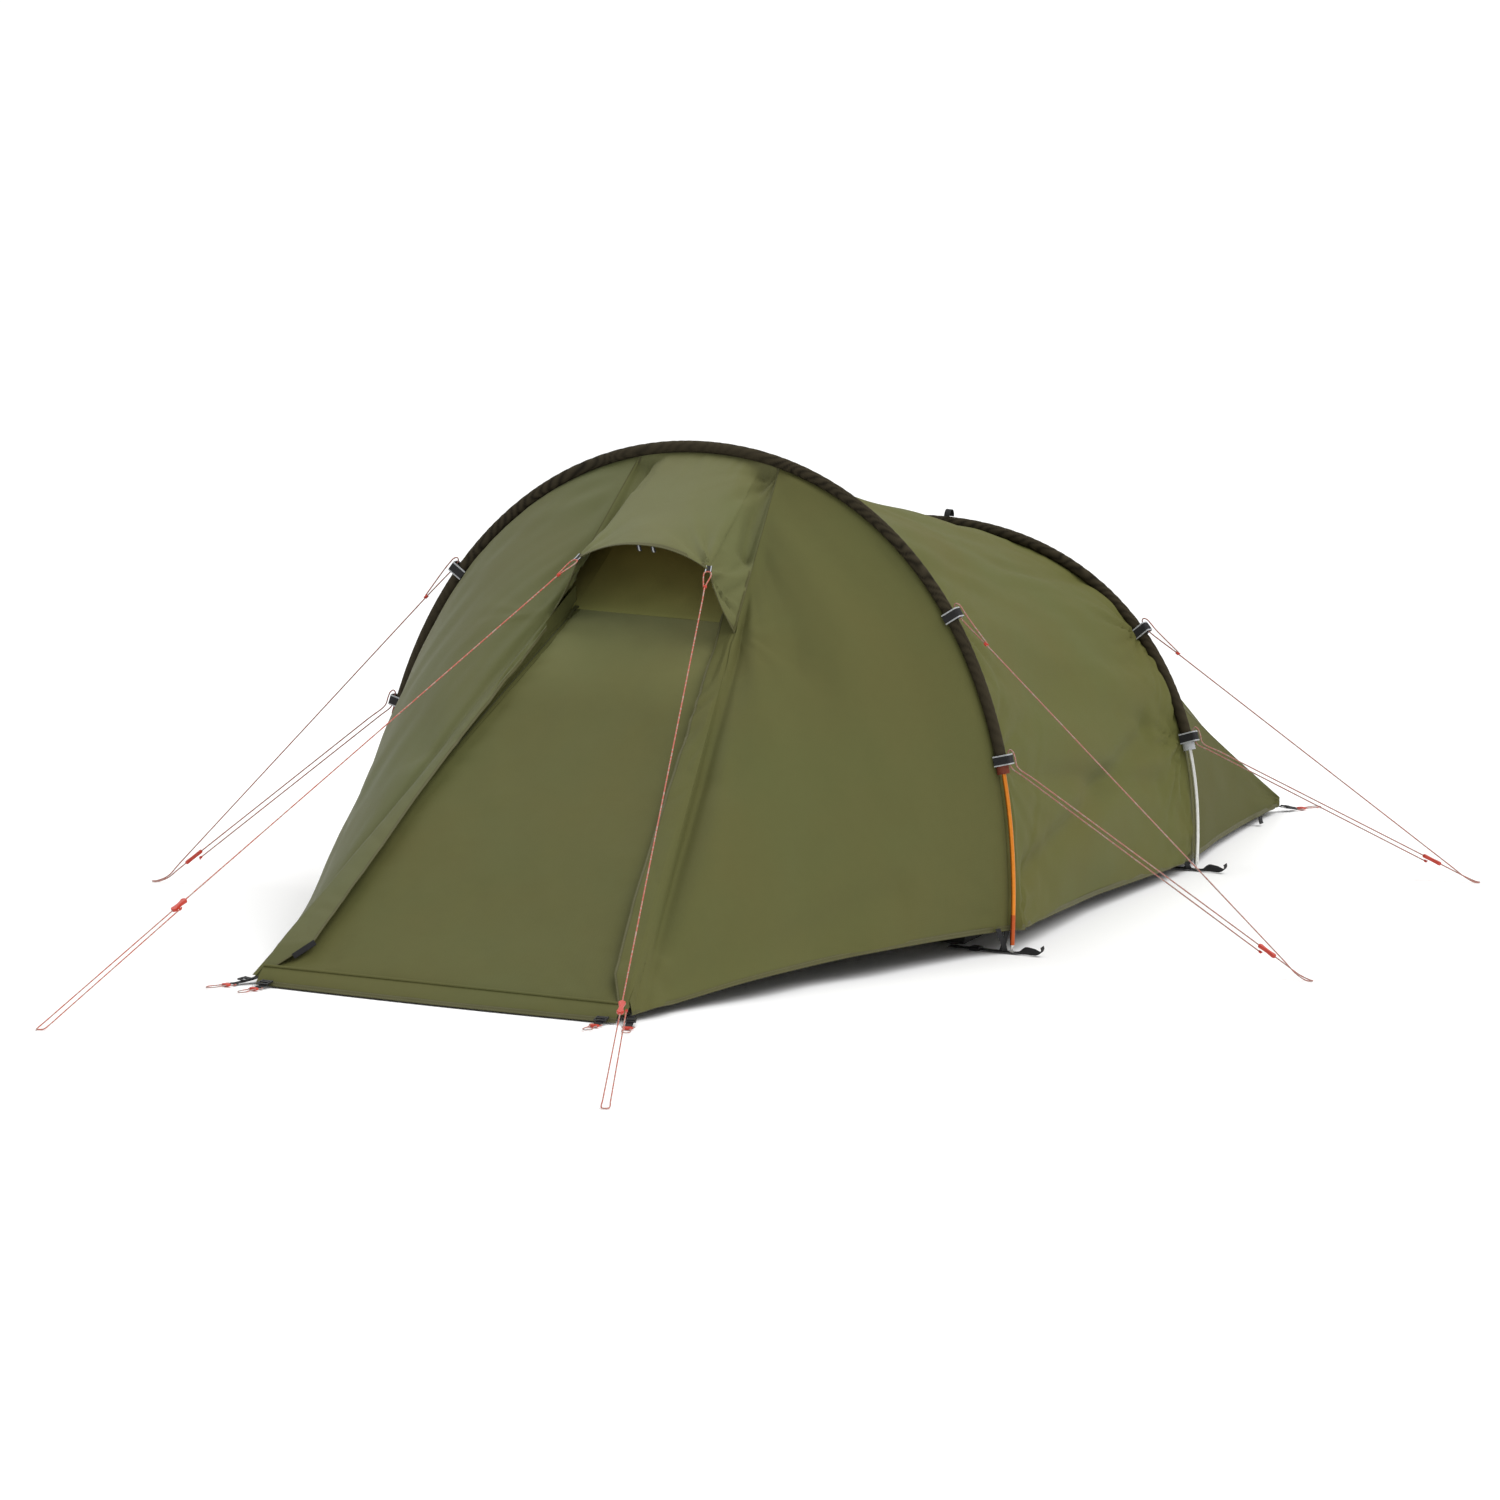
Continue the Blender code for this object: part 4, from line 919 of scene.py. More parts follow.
def arch_line(count):
    """The hood's front edge: straight sides up to a corner, then a low arch."""
    side_share = 0.25
    foot, corner, top = np.array(ARCH_FOOT), np.array(ARCH_CORNER), np.array(ARCH_TOP)
    out = []
    for u in np.linspace(0, 1, count):
        w = min(u, 1 - u)
        if w < side_share:
            t = w / side_share
            point = foot * (1 - t) + corner * t
            point[0] -= 0.006 * math.sin(math.pi * t)
        else:
            t = (w - side_share) / (0.5 - side_share)
            rise = 1 - (1 - t) ** 2.2
            point = corner + (top - corner) * np.array([t, t, rise])
        if u > 0.5:
            point[0] = -point[0]
        out.append(point)
    return np.array(out)


def hood_folds(seam, corner, foot, inwards):
    """Each fold's start, end, width and depth, from the seam's end, the hood's corner and its foot."""
    ridge_start, ridge_end = corner.lerp(seam, 0.10), corner.lerp(seam, 0.65)
    return (
        (seam + inwards * 0.028, seam.lerp(foot, 0.55) + inwards * 0.020, 0.024, 0.028),
        (seam + inwards * 0.060, corner.lerp(seam, 0.30) + inwards * 0.010, 0.016, 0.006),
        (corner.lerp(foot, 0.20), seam.lerp(foot, 0.55) + inwards * 0.006, 0.010, 0.006),
        (corner.lerp(foot, 0.45), seam.lerp(foot, 0.70) + inwards * 0.004, 0.009, 0.005),
        (ridge_start + inwards * 0.02, ridge_end + inwards * 0.035, 0.014, -0.005),
    )


def make_hood(columns=140, rows=56):
    start = angle_at_x(FRONT_HOOP, HOOD_SEAM_X)
    share = np.interp(np.linspace(0, 1, columns), [0, 0.25, 0.75, 1], [0, 0.14, 0.86, 1])
    back = seam_line(FRONT_HOOP, over_hoop(start, share), -SEAM_GAP)
    points, u, v = down_between(back, arch_line(columns), rows)
    points[..., 2] -= 0.010 * arch(v) * arch(u)
    edge = calm_edges((v, 0.05), (1 - v, 0.04), (np.minimum(u, 1 - u), 0.03))
    height = 0.0035 * lattice_noise(u * 9, v * 5, 71)
    height = height + 0.0016 * lattice_noise(u * 40, v * 2, 73) * np.exp(-v / 0.18)
    for side, end, slack in ((1, 0, 1.0), (-1, -1, 0.4)):
        corner, foot = mirrored(ARCH_CORNER, side), mirrored(ARCH_FOOT, side)
        seam = Vector(back[end])
        tilt = (side * 0.3, -0.5, 0.8)
        height = height + fan(points, corner, tilt, 18, 0.10, 0.0120 * slack, 61 + side)
        height = height + fan(points, seam, tilt, 14, 0.10, 0.0085 * slack, 65 + side)
        for fold in hood_folds(seam, corner, foot, Vector((-side, 0, 0))):
            height = height + crease(points, *fold)
    points = displaced(points, -height * edge)
    # The hood takes the lighter copy of the cloth: painted light.
    cloth("hood_cloth", points, FLY_HOOD_LIT, ["vent_hood"])
    hem_strip("hood_hem", points[-1], points[-4], 0.010)
    side_hems("hood_seam", points, 0.008)


def paint_by_height(obj, low, high, colour_at):
    """A colour layer set by each point's share of the way from low to high: painted light and shade."""
    layer = obj.data.color_attributes.new(name="height", type="FLOAT_COLOR", domain="POINT")
    for k, vertex in enumerate(obj.data.vertices):
        share = min(max((vertex.co.z - low) / (high - low), 0.0), 1.0)
        layer.data[k].color = (*colour_at(share), 1.0)


def vent_colour(share):
    """Painted light and shade: brightest and greenest at the vent's foot, as if light came in below the
    hood, darker and warmer up under it.
    """
    light = 2.10 - 1.20 * share ** 0.45
    return light * (0.82 + 0.36 * share), light, light * (1.5 - 0.7 * share)


def door_colour(share):
    """Painted light: the door grows lighter and a little bluer towards its top, as if lit from the
    vent's side.
    """
    light = 1.0 + 1.15 * share ** 1.5
    return light, light, light * (0.75 + 0.25 * light)


DOOR_FOLD = 0.022  # share of the door's length where its hem folds down
# Painted light on the door: its colour layer grows lighter between these two heights.
DOOR_LIGHT_FROM = 0.52  # heights between which the door's top grows lighter
DOOR_LIGHT_TO = 0.71
SKIRT_HALF = 0.425
SKIRT_FORWARD = 0.016
SKIRT_CURVE = 0.012
VENT_HOLLOW = 0.006
GUSSET_FOOT_X = 0.262
GUSSET_TOP_X = 0.200
GUSSET_DROP = 0.045


def make_door(rows=90, columns=90):
    """The door from its hem fold up. Returns its bottom line."""
    s = np.linspace(DOOR_FOLD, 1.0, rows)[:, None]
    half = door_half(s)
    x = np.linspace(-1, 1, columns)[None, :] * half
    centre = lerped(DOOR_HINGE, DOOR_TOP, s[:, 0])
    points = np.stack([x, centre[:, 1:2] + 0 * x, centre[:, 2:3] + 0 * x], axis=2)
    side_share = np.abs(x) / half
    edge = calm_edges((1 - side_share, 0.10), (s - DOOR_FOLD, 0.03), (1 - s, 0.05))
    height = 0.0055 * lattice_noise(x * 6 + 8, s * 5, 81) + 0.0016 * lattice_noise(x * 24, s * 16, 83)
    for side in (1, -1):
        height = height + puckers(s * 1.25 + 0 * x, half - side * x, 0.030, 0.045, 0.0045, 85 + side)
    for corner_x, seed in ((0.37, 88), (-0.37, 89)):
        height = height + fan(points, (corner_x, DOOR_HINGE.y, 0.03), DOOR_NORMAL, 20, 0.10, 0.004, seed)
    height = height - 0.006 * arch(s) * (1 - side_share ** 2)
    points = moved(points, DOOR_NORMAL, height * edge)
    door = cloth("door_cloth", points, FLY_DOOR, ["door_panel"], body="door")
    # Painted light: the door's colour layer lightens its top.
    paint_by_height(door, DOOR_LIGHT_FROM, DOOR_LIGHT_TO, door_colour)
    return points[0]


def make_skirt(line, rows=14):
    """The hem below the door's fold: it hangs to the ground and stays with the tent."""
    span = np.linspace(-1, 1, len(line))
    lower_y = DOOR_HINGE.y - SKIRT_FORWARD - SKIRT_CURVE * np.cos(span * math.pi / 2)
    lower = np.stack([span * SKIRT_HALF, lower_y, 0.0035 + 0 * span], axis=1)
    top = line + np.array([0.0, -0.001, 0.003])
    skirt, _, v = down_between(top, lower, rows)
    skirt[..., 1] -= arch(v) * (0.004 + 0.002 * lattice_noise(span * 9, 0 * span, 91))
    cloth("door_skirt", skirt, FLY)
    hem_strip("door_skirt_hem", skirt[-1], skirt[-3], 0.011)
    roll = []
    for t in np.linspace(0, 2 * math.pi, 9):
        roll.append(top + np.array([0.0, -0.0035 * math.cos(t) - 0.001, 0.0035 * math.sin(t)]))
    cloth("door_fold", np.stack(roll), FLY, declare=False, thick=0.0006)


def beside_door(side, share, out, lift=0.0):
    """A point out from the door's edge in its plane, and lifted off that."""
    return door_plane(side * (door_half(share) + out), share) + DOOR_NORMAL * lift


def make_zips():
    """The tapes, guards and coils beside the door, and the zip's edge on the door."""
    tape_outs = np.linspace(ZIP_TAPE_GAP, ZIP_TAPE_GAP + ZIP_TAPE, 6)
    shares = np.linspace(0.0, 1.0, 60)
    for label, side in SIDES:
        tape = [[tuple(beside_door(side, share, out)) for out in tape_outs] for share in shares]
        nodes = [f"zip_tape_{label}"]
        cloth(f"zip_tape_cloth_{label}", np.array(tape), FLY, nodes, declare=False)
        guard = []
        for share in shares[2:]:
            y = DOOR_HINGE.y + (DOOR_TOP.y - DOOR_HINGE.y) * share
            wall_edge = mirrored(CORNER.lerp(ARCH_FOOT, (y - CORNER.y) / (ARCH_FOOT.y - CORNER.y)), side)
            tape_edge = beside_door(side, share, tape_outs[-1])
            guard.append(lerped(tape_edge, wall_edge, np.linspace(0, 1, 5)))
        cloth(f"zip_guard_{label}", np.array(guard), FLY, declare=False)
        coil = [beside_door(side, share, 0.001, 0.0010) for share in np.linspace(0.03, 0.99, 60)]
        tube_mesh(f"zip_coil_{label}", coil, 0.0012, ZIP, sides=8)
        bar = [beside_door(side, share, -0.006, 0.0012) for share in np.linspace(DOOR_FOLD, 0.995, 50)]
        ribbon(f"door_zip_edge_{label}", bar, (side, 0, 0), 0.009, FLY, body="door", thick=0.0008)


def make_vent(rows=26, columns=60):
    """The panel that closes the space above the door under the hood, and its side gussets."""
    bottom_half = DOOR_HALVES[1] + ZIP_TAPE
    bottom = door_plane(0, 0.985) + DOOR_NORMAL * 0.0015
    v = np.linspace(0, 1, rows)[:, None]
    x = np.linspace(-1, 1, columns)[None, :] * (bottom_half + (VENT_TOP.x - 0.008 - bottom_half) * v)
    hollow = VENT_HOLLOW * arch(v)
    y = bottom.y + (VENT_TOP.y - bottom.y) * v + 0 * x + hollow * 0.8
    z = bottom.z + (VENT_TOP.z - bottom.z) * v + 0 * x - hollow * 0.6
    panel = np.stack([x, y, z], axis=2)
    panel = displaced(panel, 0.003 * lattice_noise(x * 20, v * 5, 95) * smooth_step(v / 0.2))
    vent = cloth("vent_cloth", panel, FLY_VENT_SHADED, ["vent_panel"])
    # Painted light and shade on the vent and its gussets from the height colour layer.
    paint_by_height(vent, bottom.z, VENT_TOP.z, vent_colour)
    for label, side in SIDES:
        inner = panel[:, -1] if side > 0 else panel[:, 0]
        outer = inner.copy()
        outer[:, 0] = side * (GUSSET_FOOT_X + (GUSSET_TOP_X - GUSSET_FOOT_X) * v[:, 0])
        outer[:, 2] -= GUSSET_DROP * v[:, 0]
        points = across_between(inner, outer, 8)[0]
        gusset = cloth(f"vent_gusset_{label}", points, FLY_VENT_SHADED)
        paint_by_height(gusset, bottom.z, VENT_TOP.z, vent_colour)


# Slack folds between the hoops: height at the front, height at the rear, depth.
TUNNEL_FOLDS = ((0.16, 0.34, 0.018), (0.38, 0.22, 0.018), (0.56, 0.38, 0.017), (0.72, 0.60, 0.014))


def make_tunnel(columns=260, rows=120):
    u = np.linspace(0, 1, columns)
    ends = []
    for hoop, shift in ((FRONT_HOOP, SEAM_GAP), (REAR_HOOP, -SEAM_GAP)):
        ends.append(seam_line(hoop, over_hoop(angle_at_height(hoop, hoop["hem_z"]), u), shift))
    points, u, v = down_between(*ends, rows)
    waist = CREST_WAIST * arch(u) + SIDE_WAIST * np.sin(2 * math.pi * u) ** 2
    points = points - from_axis(points, 0.2) * (waist * arch(v))[..., None]
    over, down = distances(points)
    up = down.max() - down
    height = 0.0150 * lattice_noise(u * 18 + 2, v * 2.6 + 4, 101)
    height += 0.0055 * lattice_noise(u * 46, v * 6.0, 103)
    height += puckers(over, down, 0.020, 0.045, 0.0030, 105)
    height += puckers(over, up, 0.022, 0.040, 0.0030, 107)
    for hoop in HOOPS:
        for z in hoop["loops"].values():
            place, outward, _, _ = hoop_frame(hoop, angle_at_height(hoop, z))
            for side in (1, -1):
                place_here, outward_here = mirrored(place, side), mirrored(outward, side)
                height += fan(points, place_here, outward_here, 22, 0.18, 0.0120, int(z * 1000) + side)
    for side in (1, -1):
        feet = ((side * 0.76, FRONT_Y, 0.07), (side * 0.668, REAR_Y, 0.05))
        for foot, seed in zip(feet, (111, 115)):
            height += fan(points, foot, (side, 0, 0), 22, 0.22, 0.0060, seed + side)
        for front_z, rear_z, depth in TUNNEL_FOLDS:
            start, end = (side * 0.74, FRONT_Y + 0.12, front_z), (side * 0.64, FRONT_Y + 1.10, rear_z)
            height -= crease(points, start, end, 0.034, depth)
        start, end = (side * 0.770, FRONT_Y + 0.032, 0.05), (side * 0.752, FRONT_Y + 0.038, 0.34)
        height += crease(points, start, end, 0.020, 0.010)
    points = displaced(points, -height * smooth_step(np.minimum(down, up) / 0.02))
    cloth("tunnel_cloth", points, FLY_TUNNEL, ["tunnel_canopy"])
    side_hems("tunnel_hem", points, inset=4)


FOOT_TOP = FOOT_CORNER + Vector((0, 0, FOOT_EDGE))
FOOT_DIP_WAY = (0.0, -0.6, -0.8)


def make_foot_sides(rows=60, columns=90):
    low, high = (angle_at_height(REAR_HOOP, z) for z in (REAR_HOOP["hem_z"], FOOT_SEAM_Z))
    shares = np.linspace(0, 1, rows)
    hoop_side = seam_line(REAR_HOOP, low + (high - low) * shares, SEAM_GAP)
    for label, side in SIDES:
        points, u, v = across_between(hoop_side, lerped(FOOT_CORNER, FOOT_TOP, shares), columns)
        slack = arch(v)
        points[..., 0] -= 0.012 * slack * (1 - u ** 3)
        points = moved(points, FOOT_DIP_WAY, FOOT_EDGE_DIP * slack * u)
        edge = calm_edges((v, 0.03), (1 - v, 0.03), (1 - u, 0.08))
        height = 0.003 * lattice_noise(u * 4, v * 6, 121 + side)
        height += fan(points, FOOT_TOP, (1, 0.2, 0.1), 26, 0.22, 0.005, 125 + side)
        height += puckers(u * 0.4, v * 0.9, 0.020, 0.030, 0.0025, 127 + side)
        points = mirror_grid(displaced(points, -height * edge), side)
        cloth(f"foot_side_cloth_{label}", points, FLY_FOOT, [f"foot_side_{label}"])
        hem_strip(f"foot_side_hem_{label}", points[0], points[4])


def make_foot_roof(rows=90, columns=160):
    u = np.linspace(0, 1, columns)
    hoop_side = seam_line(REAR_HOOP, over_hoop(angle_at_height(REAR_HOOP, FOOT_SEAM_Z), u), SEAM_GAP)
    rise = arch(u)
    hem_y = FOOT_CORNER.y - FOOT_HEM_CURVE * rise
    hem_z = FOOT_TOP.z - FOOT_EDGE * rise ** 0.5
    hem = np.stack([FOOT_CORNER.x * (1 - 2 * u), hem_y, hem_z], axis=1)
    points, u, v = down_between(hoop_side, hem, rows)
    points = moved(points, FOOT_DIP_WAY, arch(v) * (FOOT_EDGE_DIP + 0.012 * rise))
    edge = calm_edges((v, 0.03), (1 - v, 0.03), (np.minimum(u, 1 - u), 0.03))
    height = 0.004 * lattice_noise(u * 10, v * 4, 131)
    for side in (1, -1):
        corner = mirrored(FOOT_TOP, side)
        height = height + fan(points, corner, (0, 0.5, 0.8), 26, 0.20, 0.006, 133 + side)
    height = height + puckers(u * 1.4, v * 0.9, 0.022, 0.035, 0.003, 137)
    points = displaced(points, height * edge)
    cloth("foot_roof_cloth", points, FLY_FOOT, ["foot_roof"])
    hem_strip("foot_roof_hem", points[-1], points[-4])
    side_hems("foot_roof_seam", points, 0.009)


# Inner tent


INNER_FRONT_Y = FRONT_Y + 0.045
INNER_REAR_Y = FRONT_Y + 1.960
INNER_START_Z = 0.086
TUB_WALL_MID = 0.05
INNER_STATIONS = np.array([  # y, half width, height
    (INNER_FRONT_Y, 0.655, 0.950),
    (REAR_Y, 0.575, 0.640),
    (INNER_REAR_Y - 0.060, 0.455, 0.105),
    (INNER_REAR_Y, 0.440, 0.092),
])
INNER_DOORWAY = np.array([0.46, 0.72])  # half width and height
DOORWAY_ROWS = 6
TUB_FRONT = 0.640
TUB_REAR = 0.450
TUB_INSET = 0.004
TUB_SHEET_Z = 0.0012
# How far each ring of the tub's wall stands out, and its height.
TUB_LEVELS = ((0.0, TUB_SHEET_Z), (0.003, 0.018), (0.010, 0.0852))


def inner_size(y):
    """Half width and height of the inner tent at a place along it."""
    return np.array([np.interp(y, INNER_STATIONS[:, 0], INNER_STATIONS[:, k]) for k in (1, 2)])


def make_inner(columns=120):
    """The hung inner tent with its doorway."""
    ys = np.linspace(INNER_FRONT_Y, INNER_REAR_Y, 90)
    ys = np.concatenate((np.full(DOORWAY_ROWS, INNER_FRONT_Y), ys))
    turn = np.linspace(0, math.pi, columns)
    rows = []
    for k, y in enumerate(ys):
        size = inner_size(y)
        if k < DOORWAY_ROWS:
            size = INNER_DOORWAY + (size - INNER_DOORWAY) * k / DOORWAY_ROWS
        x = np.sign(np.cos(turn)) * size[0] * np.abs(np.cos(turn)) ** 0.9
        z = INNER_START_Z + (size[1] - INNER_START_Z) * np.maximum(np.sin(turn), 0) ** 0.85
        rows.append(np.stack([x, y + 0 * x, z], axis=1))
    points = np.array(rows)
    body = points[DOORWAY_ROWS:]
    between = (body[..., 1] - INNER_FRONT_Y) / (REAR_Y - INNER_FRONT_Y)
    body[..., 2] -= 0.010 * np.sin(math.pi * np.clip(between, 0, 1)) ** 2 * np.sin(turn)[None]
    waves = 0.003 * lattice_noise(between * 6, turn[None] * 3 + 0 * between, 141)
    points[DOORWAY_ROWS:] = displaced(body, waves)
    cloth("inner_cloth", points, INNER, ["inner_tent"])
    hem_strip("inner_doorway_trim", points[0], points[3], 0.010)


def tub_ring(grow, z, low, high):
    """One ring of the tub's wall. Above its middle it follows the inner tent's width."""
    front_y, rear_y = low.y + TUB_INSET, high.y - TUB_INSET
    corners = [(TUB_FRONT, front_y), (-TUB_FRONT, front_y), (-TUB_REAR, rear_y), (TUB_REAR, rear_y)]
    ring = []
    for start, end in zip(corners, corners[1:] + corners[:1]):
        for t in np.linspace(0, 1, 24, endpoint=False):
            x, y = (a + (b - a) * t for a, b in zip(start, end))
            if z > TUB_WALL_MID:
                straight = TUB_FRONT + (TUB_REAR - TUB_FRONT) * (y - low.y) / (high.y - low.y)
                x *= (inner_size(y)[0] - 0.0015) / straight
            else:
                x *= 1 + grow / 0.6
            ring.append((x, y + math.copysign(grow * 0.3, y - (low.y + high.y) / 2), z))
    return ring + ring[:1]


def make_tub():
    low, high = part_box("tub_floor")
    rings = [tub_ring(grow, z, low, high) for grow, z in TUB_LEVELS]
    cloth("tub_wall", np.array(rings), FLOOR, declare=False)
    t = np.linspace(0, 1, 60)[:, None]
    x = np.linspace(-1, 1, 50)[None] * (TUB_FRONT + (TUB_REAR - TUB_FRONT) * t)
    y = low.y + TUB_INSET + (high.y - low.y - 2 * TUB_INSET) * t + 0 * x
    sheet = np.stack([x, y, TUB_SHEET_Z + 0 * x], axis=2)
    cloth("tub_sheet", sheet, FLOOR, ["tub_floor"])


# Webbing and fittings


def loop_profile():
    """Half outline of a webbing loop: out from the sleeve, and along the pole's plane."""
    leg, wall, corner, inner_end = 0.0137, 0.0015, 0.005, -0.0130
    bend_out = BAND_INNER + wall / 2 - corner
    profile = [(inner_end, -leg)]
    for first, bend in ((-90, corner - leg), (0, leg - corner)):
        for k in range(6):
            turn = math.radians(first + 18 * k)
            profile.append((bend_out + corner * math.cos(turn), bend + corner * math.sin(turn)))
    return profile + [(inner_end, leg)]


def make_loops():
    """Webbing loops over the sleeves, each with two reflective threads woven along it."""
    profile = loop_profile()
    widths = np.linspace(-BAND_HALF + 0.0004, BAND_HALF - 0.0004, 9)
    faces = grid_faces(len(profile), len(widths))
    levels = [(hoop, level, z) for hoop in HOOPS for level, z in hoop["loops"].items()]
    for (hoop, level, z), (label, side) in [(row, pair) for row in levels for pair in SIDES]:
        axes = hoop_frame(hoop, angle_at_height(hoop, z))
        middle, outward, along, across = (mirrored(axis, side) for axis in axes)
        verts, uvs = [], []
        travelled = 0.0
        for k, (out, beside) in enumerate(profile):
            if k:
                travelled += math.dist(profile[k - 1], profile[k])
            for width in widths:
                verts.append(tuple(middle + outward * out + across * beside + along * float(width)))
                uvs.append((travelled, width))
        name = f"guy_loop_{hoop['place']}_{level}_{label}"
        band = mesh_object(name + "_web", verts, faces, WEBBING, uvs)
        band.data.materials.append(REFLECTIVE)
        for face in band.data.polygons:
            column = face.index % (len(widths) - 1)
            face.material_index = 1 if column in (0, len(widths) - 2) else 0
        thicken(band, 0.0014)
        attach(band, "tent")
        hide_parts(name)


STRAP_Z = 0.0032
# A ground strap's side view, from the pole's foot: outwards, and up.
STRAP_LINE = (
    (-0.149, 0), (-0.10, 0), (-0.03, 0), (0, 0), (0.03, 0), (0.052, 0),
    (0.062, 0.001), (0.070, 0.005), (0.073, 0.012), (0.0715, 0.0175),
)
# The two risers up to the hem: top outwards and along, bottom outwards and along.
RISERS = ((-0.016, -0.045, -0.014, -0.004), (-0.020, 0.018, -0.026, 0.004))


def make_foot_straps():
    """Ground straps under the pole feet, their risers to the hem, and the ladder buckles."""
    for hoop, (label, side) in [(hoop, pair) for hoop in HOOPS for pair in SIDES]:
        foot, y = hoop["half_width"], hoop["y"]
        place = f"{hoop['place']}_{label}"
        spine = [Vector((side * (foot + out), y, STRAP_Z + up)) for out, up in STRAP_LINE]
        path = smooth_route(spine, 4)
        beyond = [abs(point.x) - foot for point in path]
        widths = np.interp(beyond, [-0.02, 0.05], [0.020, 0.0160])
        twist = np.interp(beyond, [0.014, 0.034, 0.052, 0.066], [0, 1.25, 0.9, 0.15])
        line = np.array([tuple(point) for point in path])
        line[:, 2] += np.sin(twist) * widths * 0.40
        turned = np.stack([0 * twist, np.cos(twist), np.sin(twist)], axis=1)
        offsets = np.linspace(-0.5, 0.5, 5)[None, :] * widths[:, None]
        points = line[:, None, :] + turned[:, None, :] * offsets[..., None]
        nodes = [f"foot_strap_{place}"]
        cloth(f"foot_strap_web_{place}", points, WEBBING, nodes, thick=0.0016, declare=False)
        for k, (top_out, top_y, bottom_out, bottom_y) in enumerate(RISERS):
            top = Vector((side * (foot + top_out), y + top_y, hoop["hem_z"] + 0.010))
            bottom = Vector((side * (foot + bottom_out), y + bottom_y, STRAP_Z + 0.0022))
            middle = top.lerp(bottom, 0.5) + Vector((side * 0.002, 0, -0.002))
            across = Vector((side * 0.25, 1, 0)).normalized()
            way = smooth_route([top, middle, bottom], 4)
            ribbon(f"foot_riser_{place}_{k}", way, across, 0.016, WEBBING)
        paint(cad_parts[f"foot_buckle_{place}"], BLACK)
        eyelet_ring(f"eyelet_{place}", Vector((side * foot, y, STRAP_Z + 0.0009)))


def eyelet_ring(name, place):
    """A pressed metal ring round the hole that takes the pole's pin."""
    radius = 0.0052
    turns = np.linspace(0, 2 * math.pi, 25)
    path = [place + Vector((radius * math.cos(turn), radius * math.sin(turn), 0)) for turn in turns]
    tube_mesh(name, path, 0.0009, SILVER, sides=8)


def paint(obj, material):
    obj.data.materials.clear()
    obj.data.materials.append(material)


def corner_tabs():
    """Each corner tab's name, and the ends of its centre line."""
    front_tip, rear_tip, tip_z = FRONT_Y - FRONT_REACH, FRONT_Y + REAR_REACH, 0.0035
    starts = {
        "porch": (CORNER + Vector((0.004, -0.008, -0.004)), Vector((0.468, front_tip + 0.012, tip_z))),
        "door": (Vector((DOOR_TAB_X, DOOR_HINGE.y - 0.006, 0.012)), Vector((0.400, front_tip, tip_z))),
        "foot": (FOOT_CORNER + Vector((0.004, 0.006, -0.004)), Vector((0.545, rear_tip, tip_z))),
    }
    for label, side in SIDES:
        for place, (start, end) in starts.items():
            yield f"{place}_{label}", mirrored(start, side), mirrored(end, side)


def make_corner_tabs():
    for name, start, end in corner_tabs():
        along = (end - start).normalized()
        across = along.cross(Vector((0, 0, 1))).normalized()
        up = across.cross(along).normalized()
        length = (end - start).length
        line = [
            start - along * 0.012 + up * 0.003, start, start + along * (length - 0.010),
            end - along * 0.004 + up * 0.0012, end - along * 0.0008, end - along * 0.004 - up * 0.0012,
            start + along * (length - 0.012) - up * 0.0008,
        ]
        ribbon(f"corner_tab_web_{name}", smooth_route(line, 4), across, 0.0155, WEBBING,
               thick=0.0011, nodes=[f"corner_tab_{name}"])
        ladder(f"corner_ladder_{name}", start + along * (length * 0.42) + up * 0.0008, along, across, up)
        route = peg_loop_route(end - along * 0.0022, along, across, 0.008)
        node = f"peg_loop_{name}"
        cord_curve(f"peg_cord_{name}", route, PEG_CORD_RADIUS, node, CORD_GREY, steps=6, bead=True)


BOX_FACES = ((0, 1, 3, 2), (4, 6, 7, 5), (0, 4, 5, 1), (2, 3, 7, 6), (0, 2, 6, 4), (1, 5, 7, 3))


def ladder(name, centre, along, across, up):
    """A small moulded ladder lock round a tab: three bars across, and a rail down each side."""
    bars = [(along * shift + up * lift, (0.0020, 0.0120, 0.0016))
            for shift, lift in ((-0.0105, 0.0022), (0.0, 0.0034), (0.0105, 0.0022))]
    bars += [(across * (side * 0.0118) + up * 0.0024, (0.0125, 0.0016, 0.0020)) for side in (-1, 1)]
    signs = [(a, b, c) for a in (-1, 1) for b in (-1, 1) for c in (-1, 1)]
    verts, faces = [], []
    for shift, (half_along, half_across, half_up) in bars:
        faces.extend(tuple(len(verts) + k for k in face) for face in BOX_FACES)
        for a, b, c in signs:
            corner = along * (a * half_along) + across * (b * half_across) + up * (c * half_up)
            verts.append(tuple(centre + shift + corner))
    obj = mesh_object(name, verts, faces, BLACK, smooth=False)
    bevel = obj.modifiers.new("round", "BEVEL")
    bevel.width = 0.0006
    bevel.segments = 2
    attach(obj, "tent")


# Cords: the same routes as the CAD


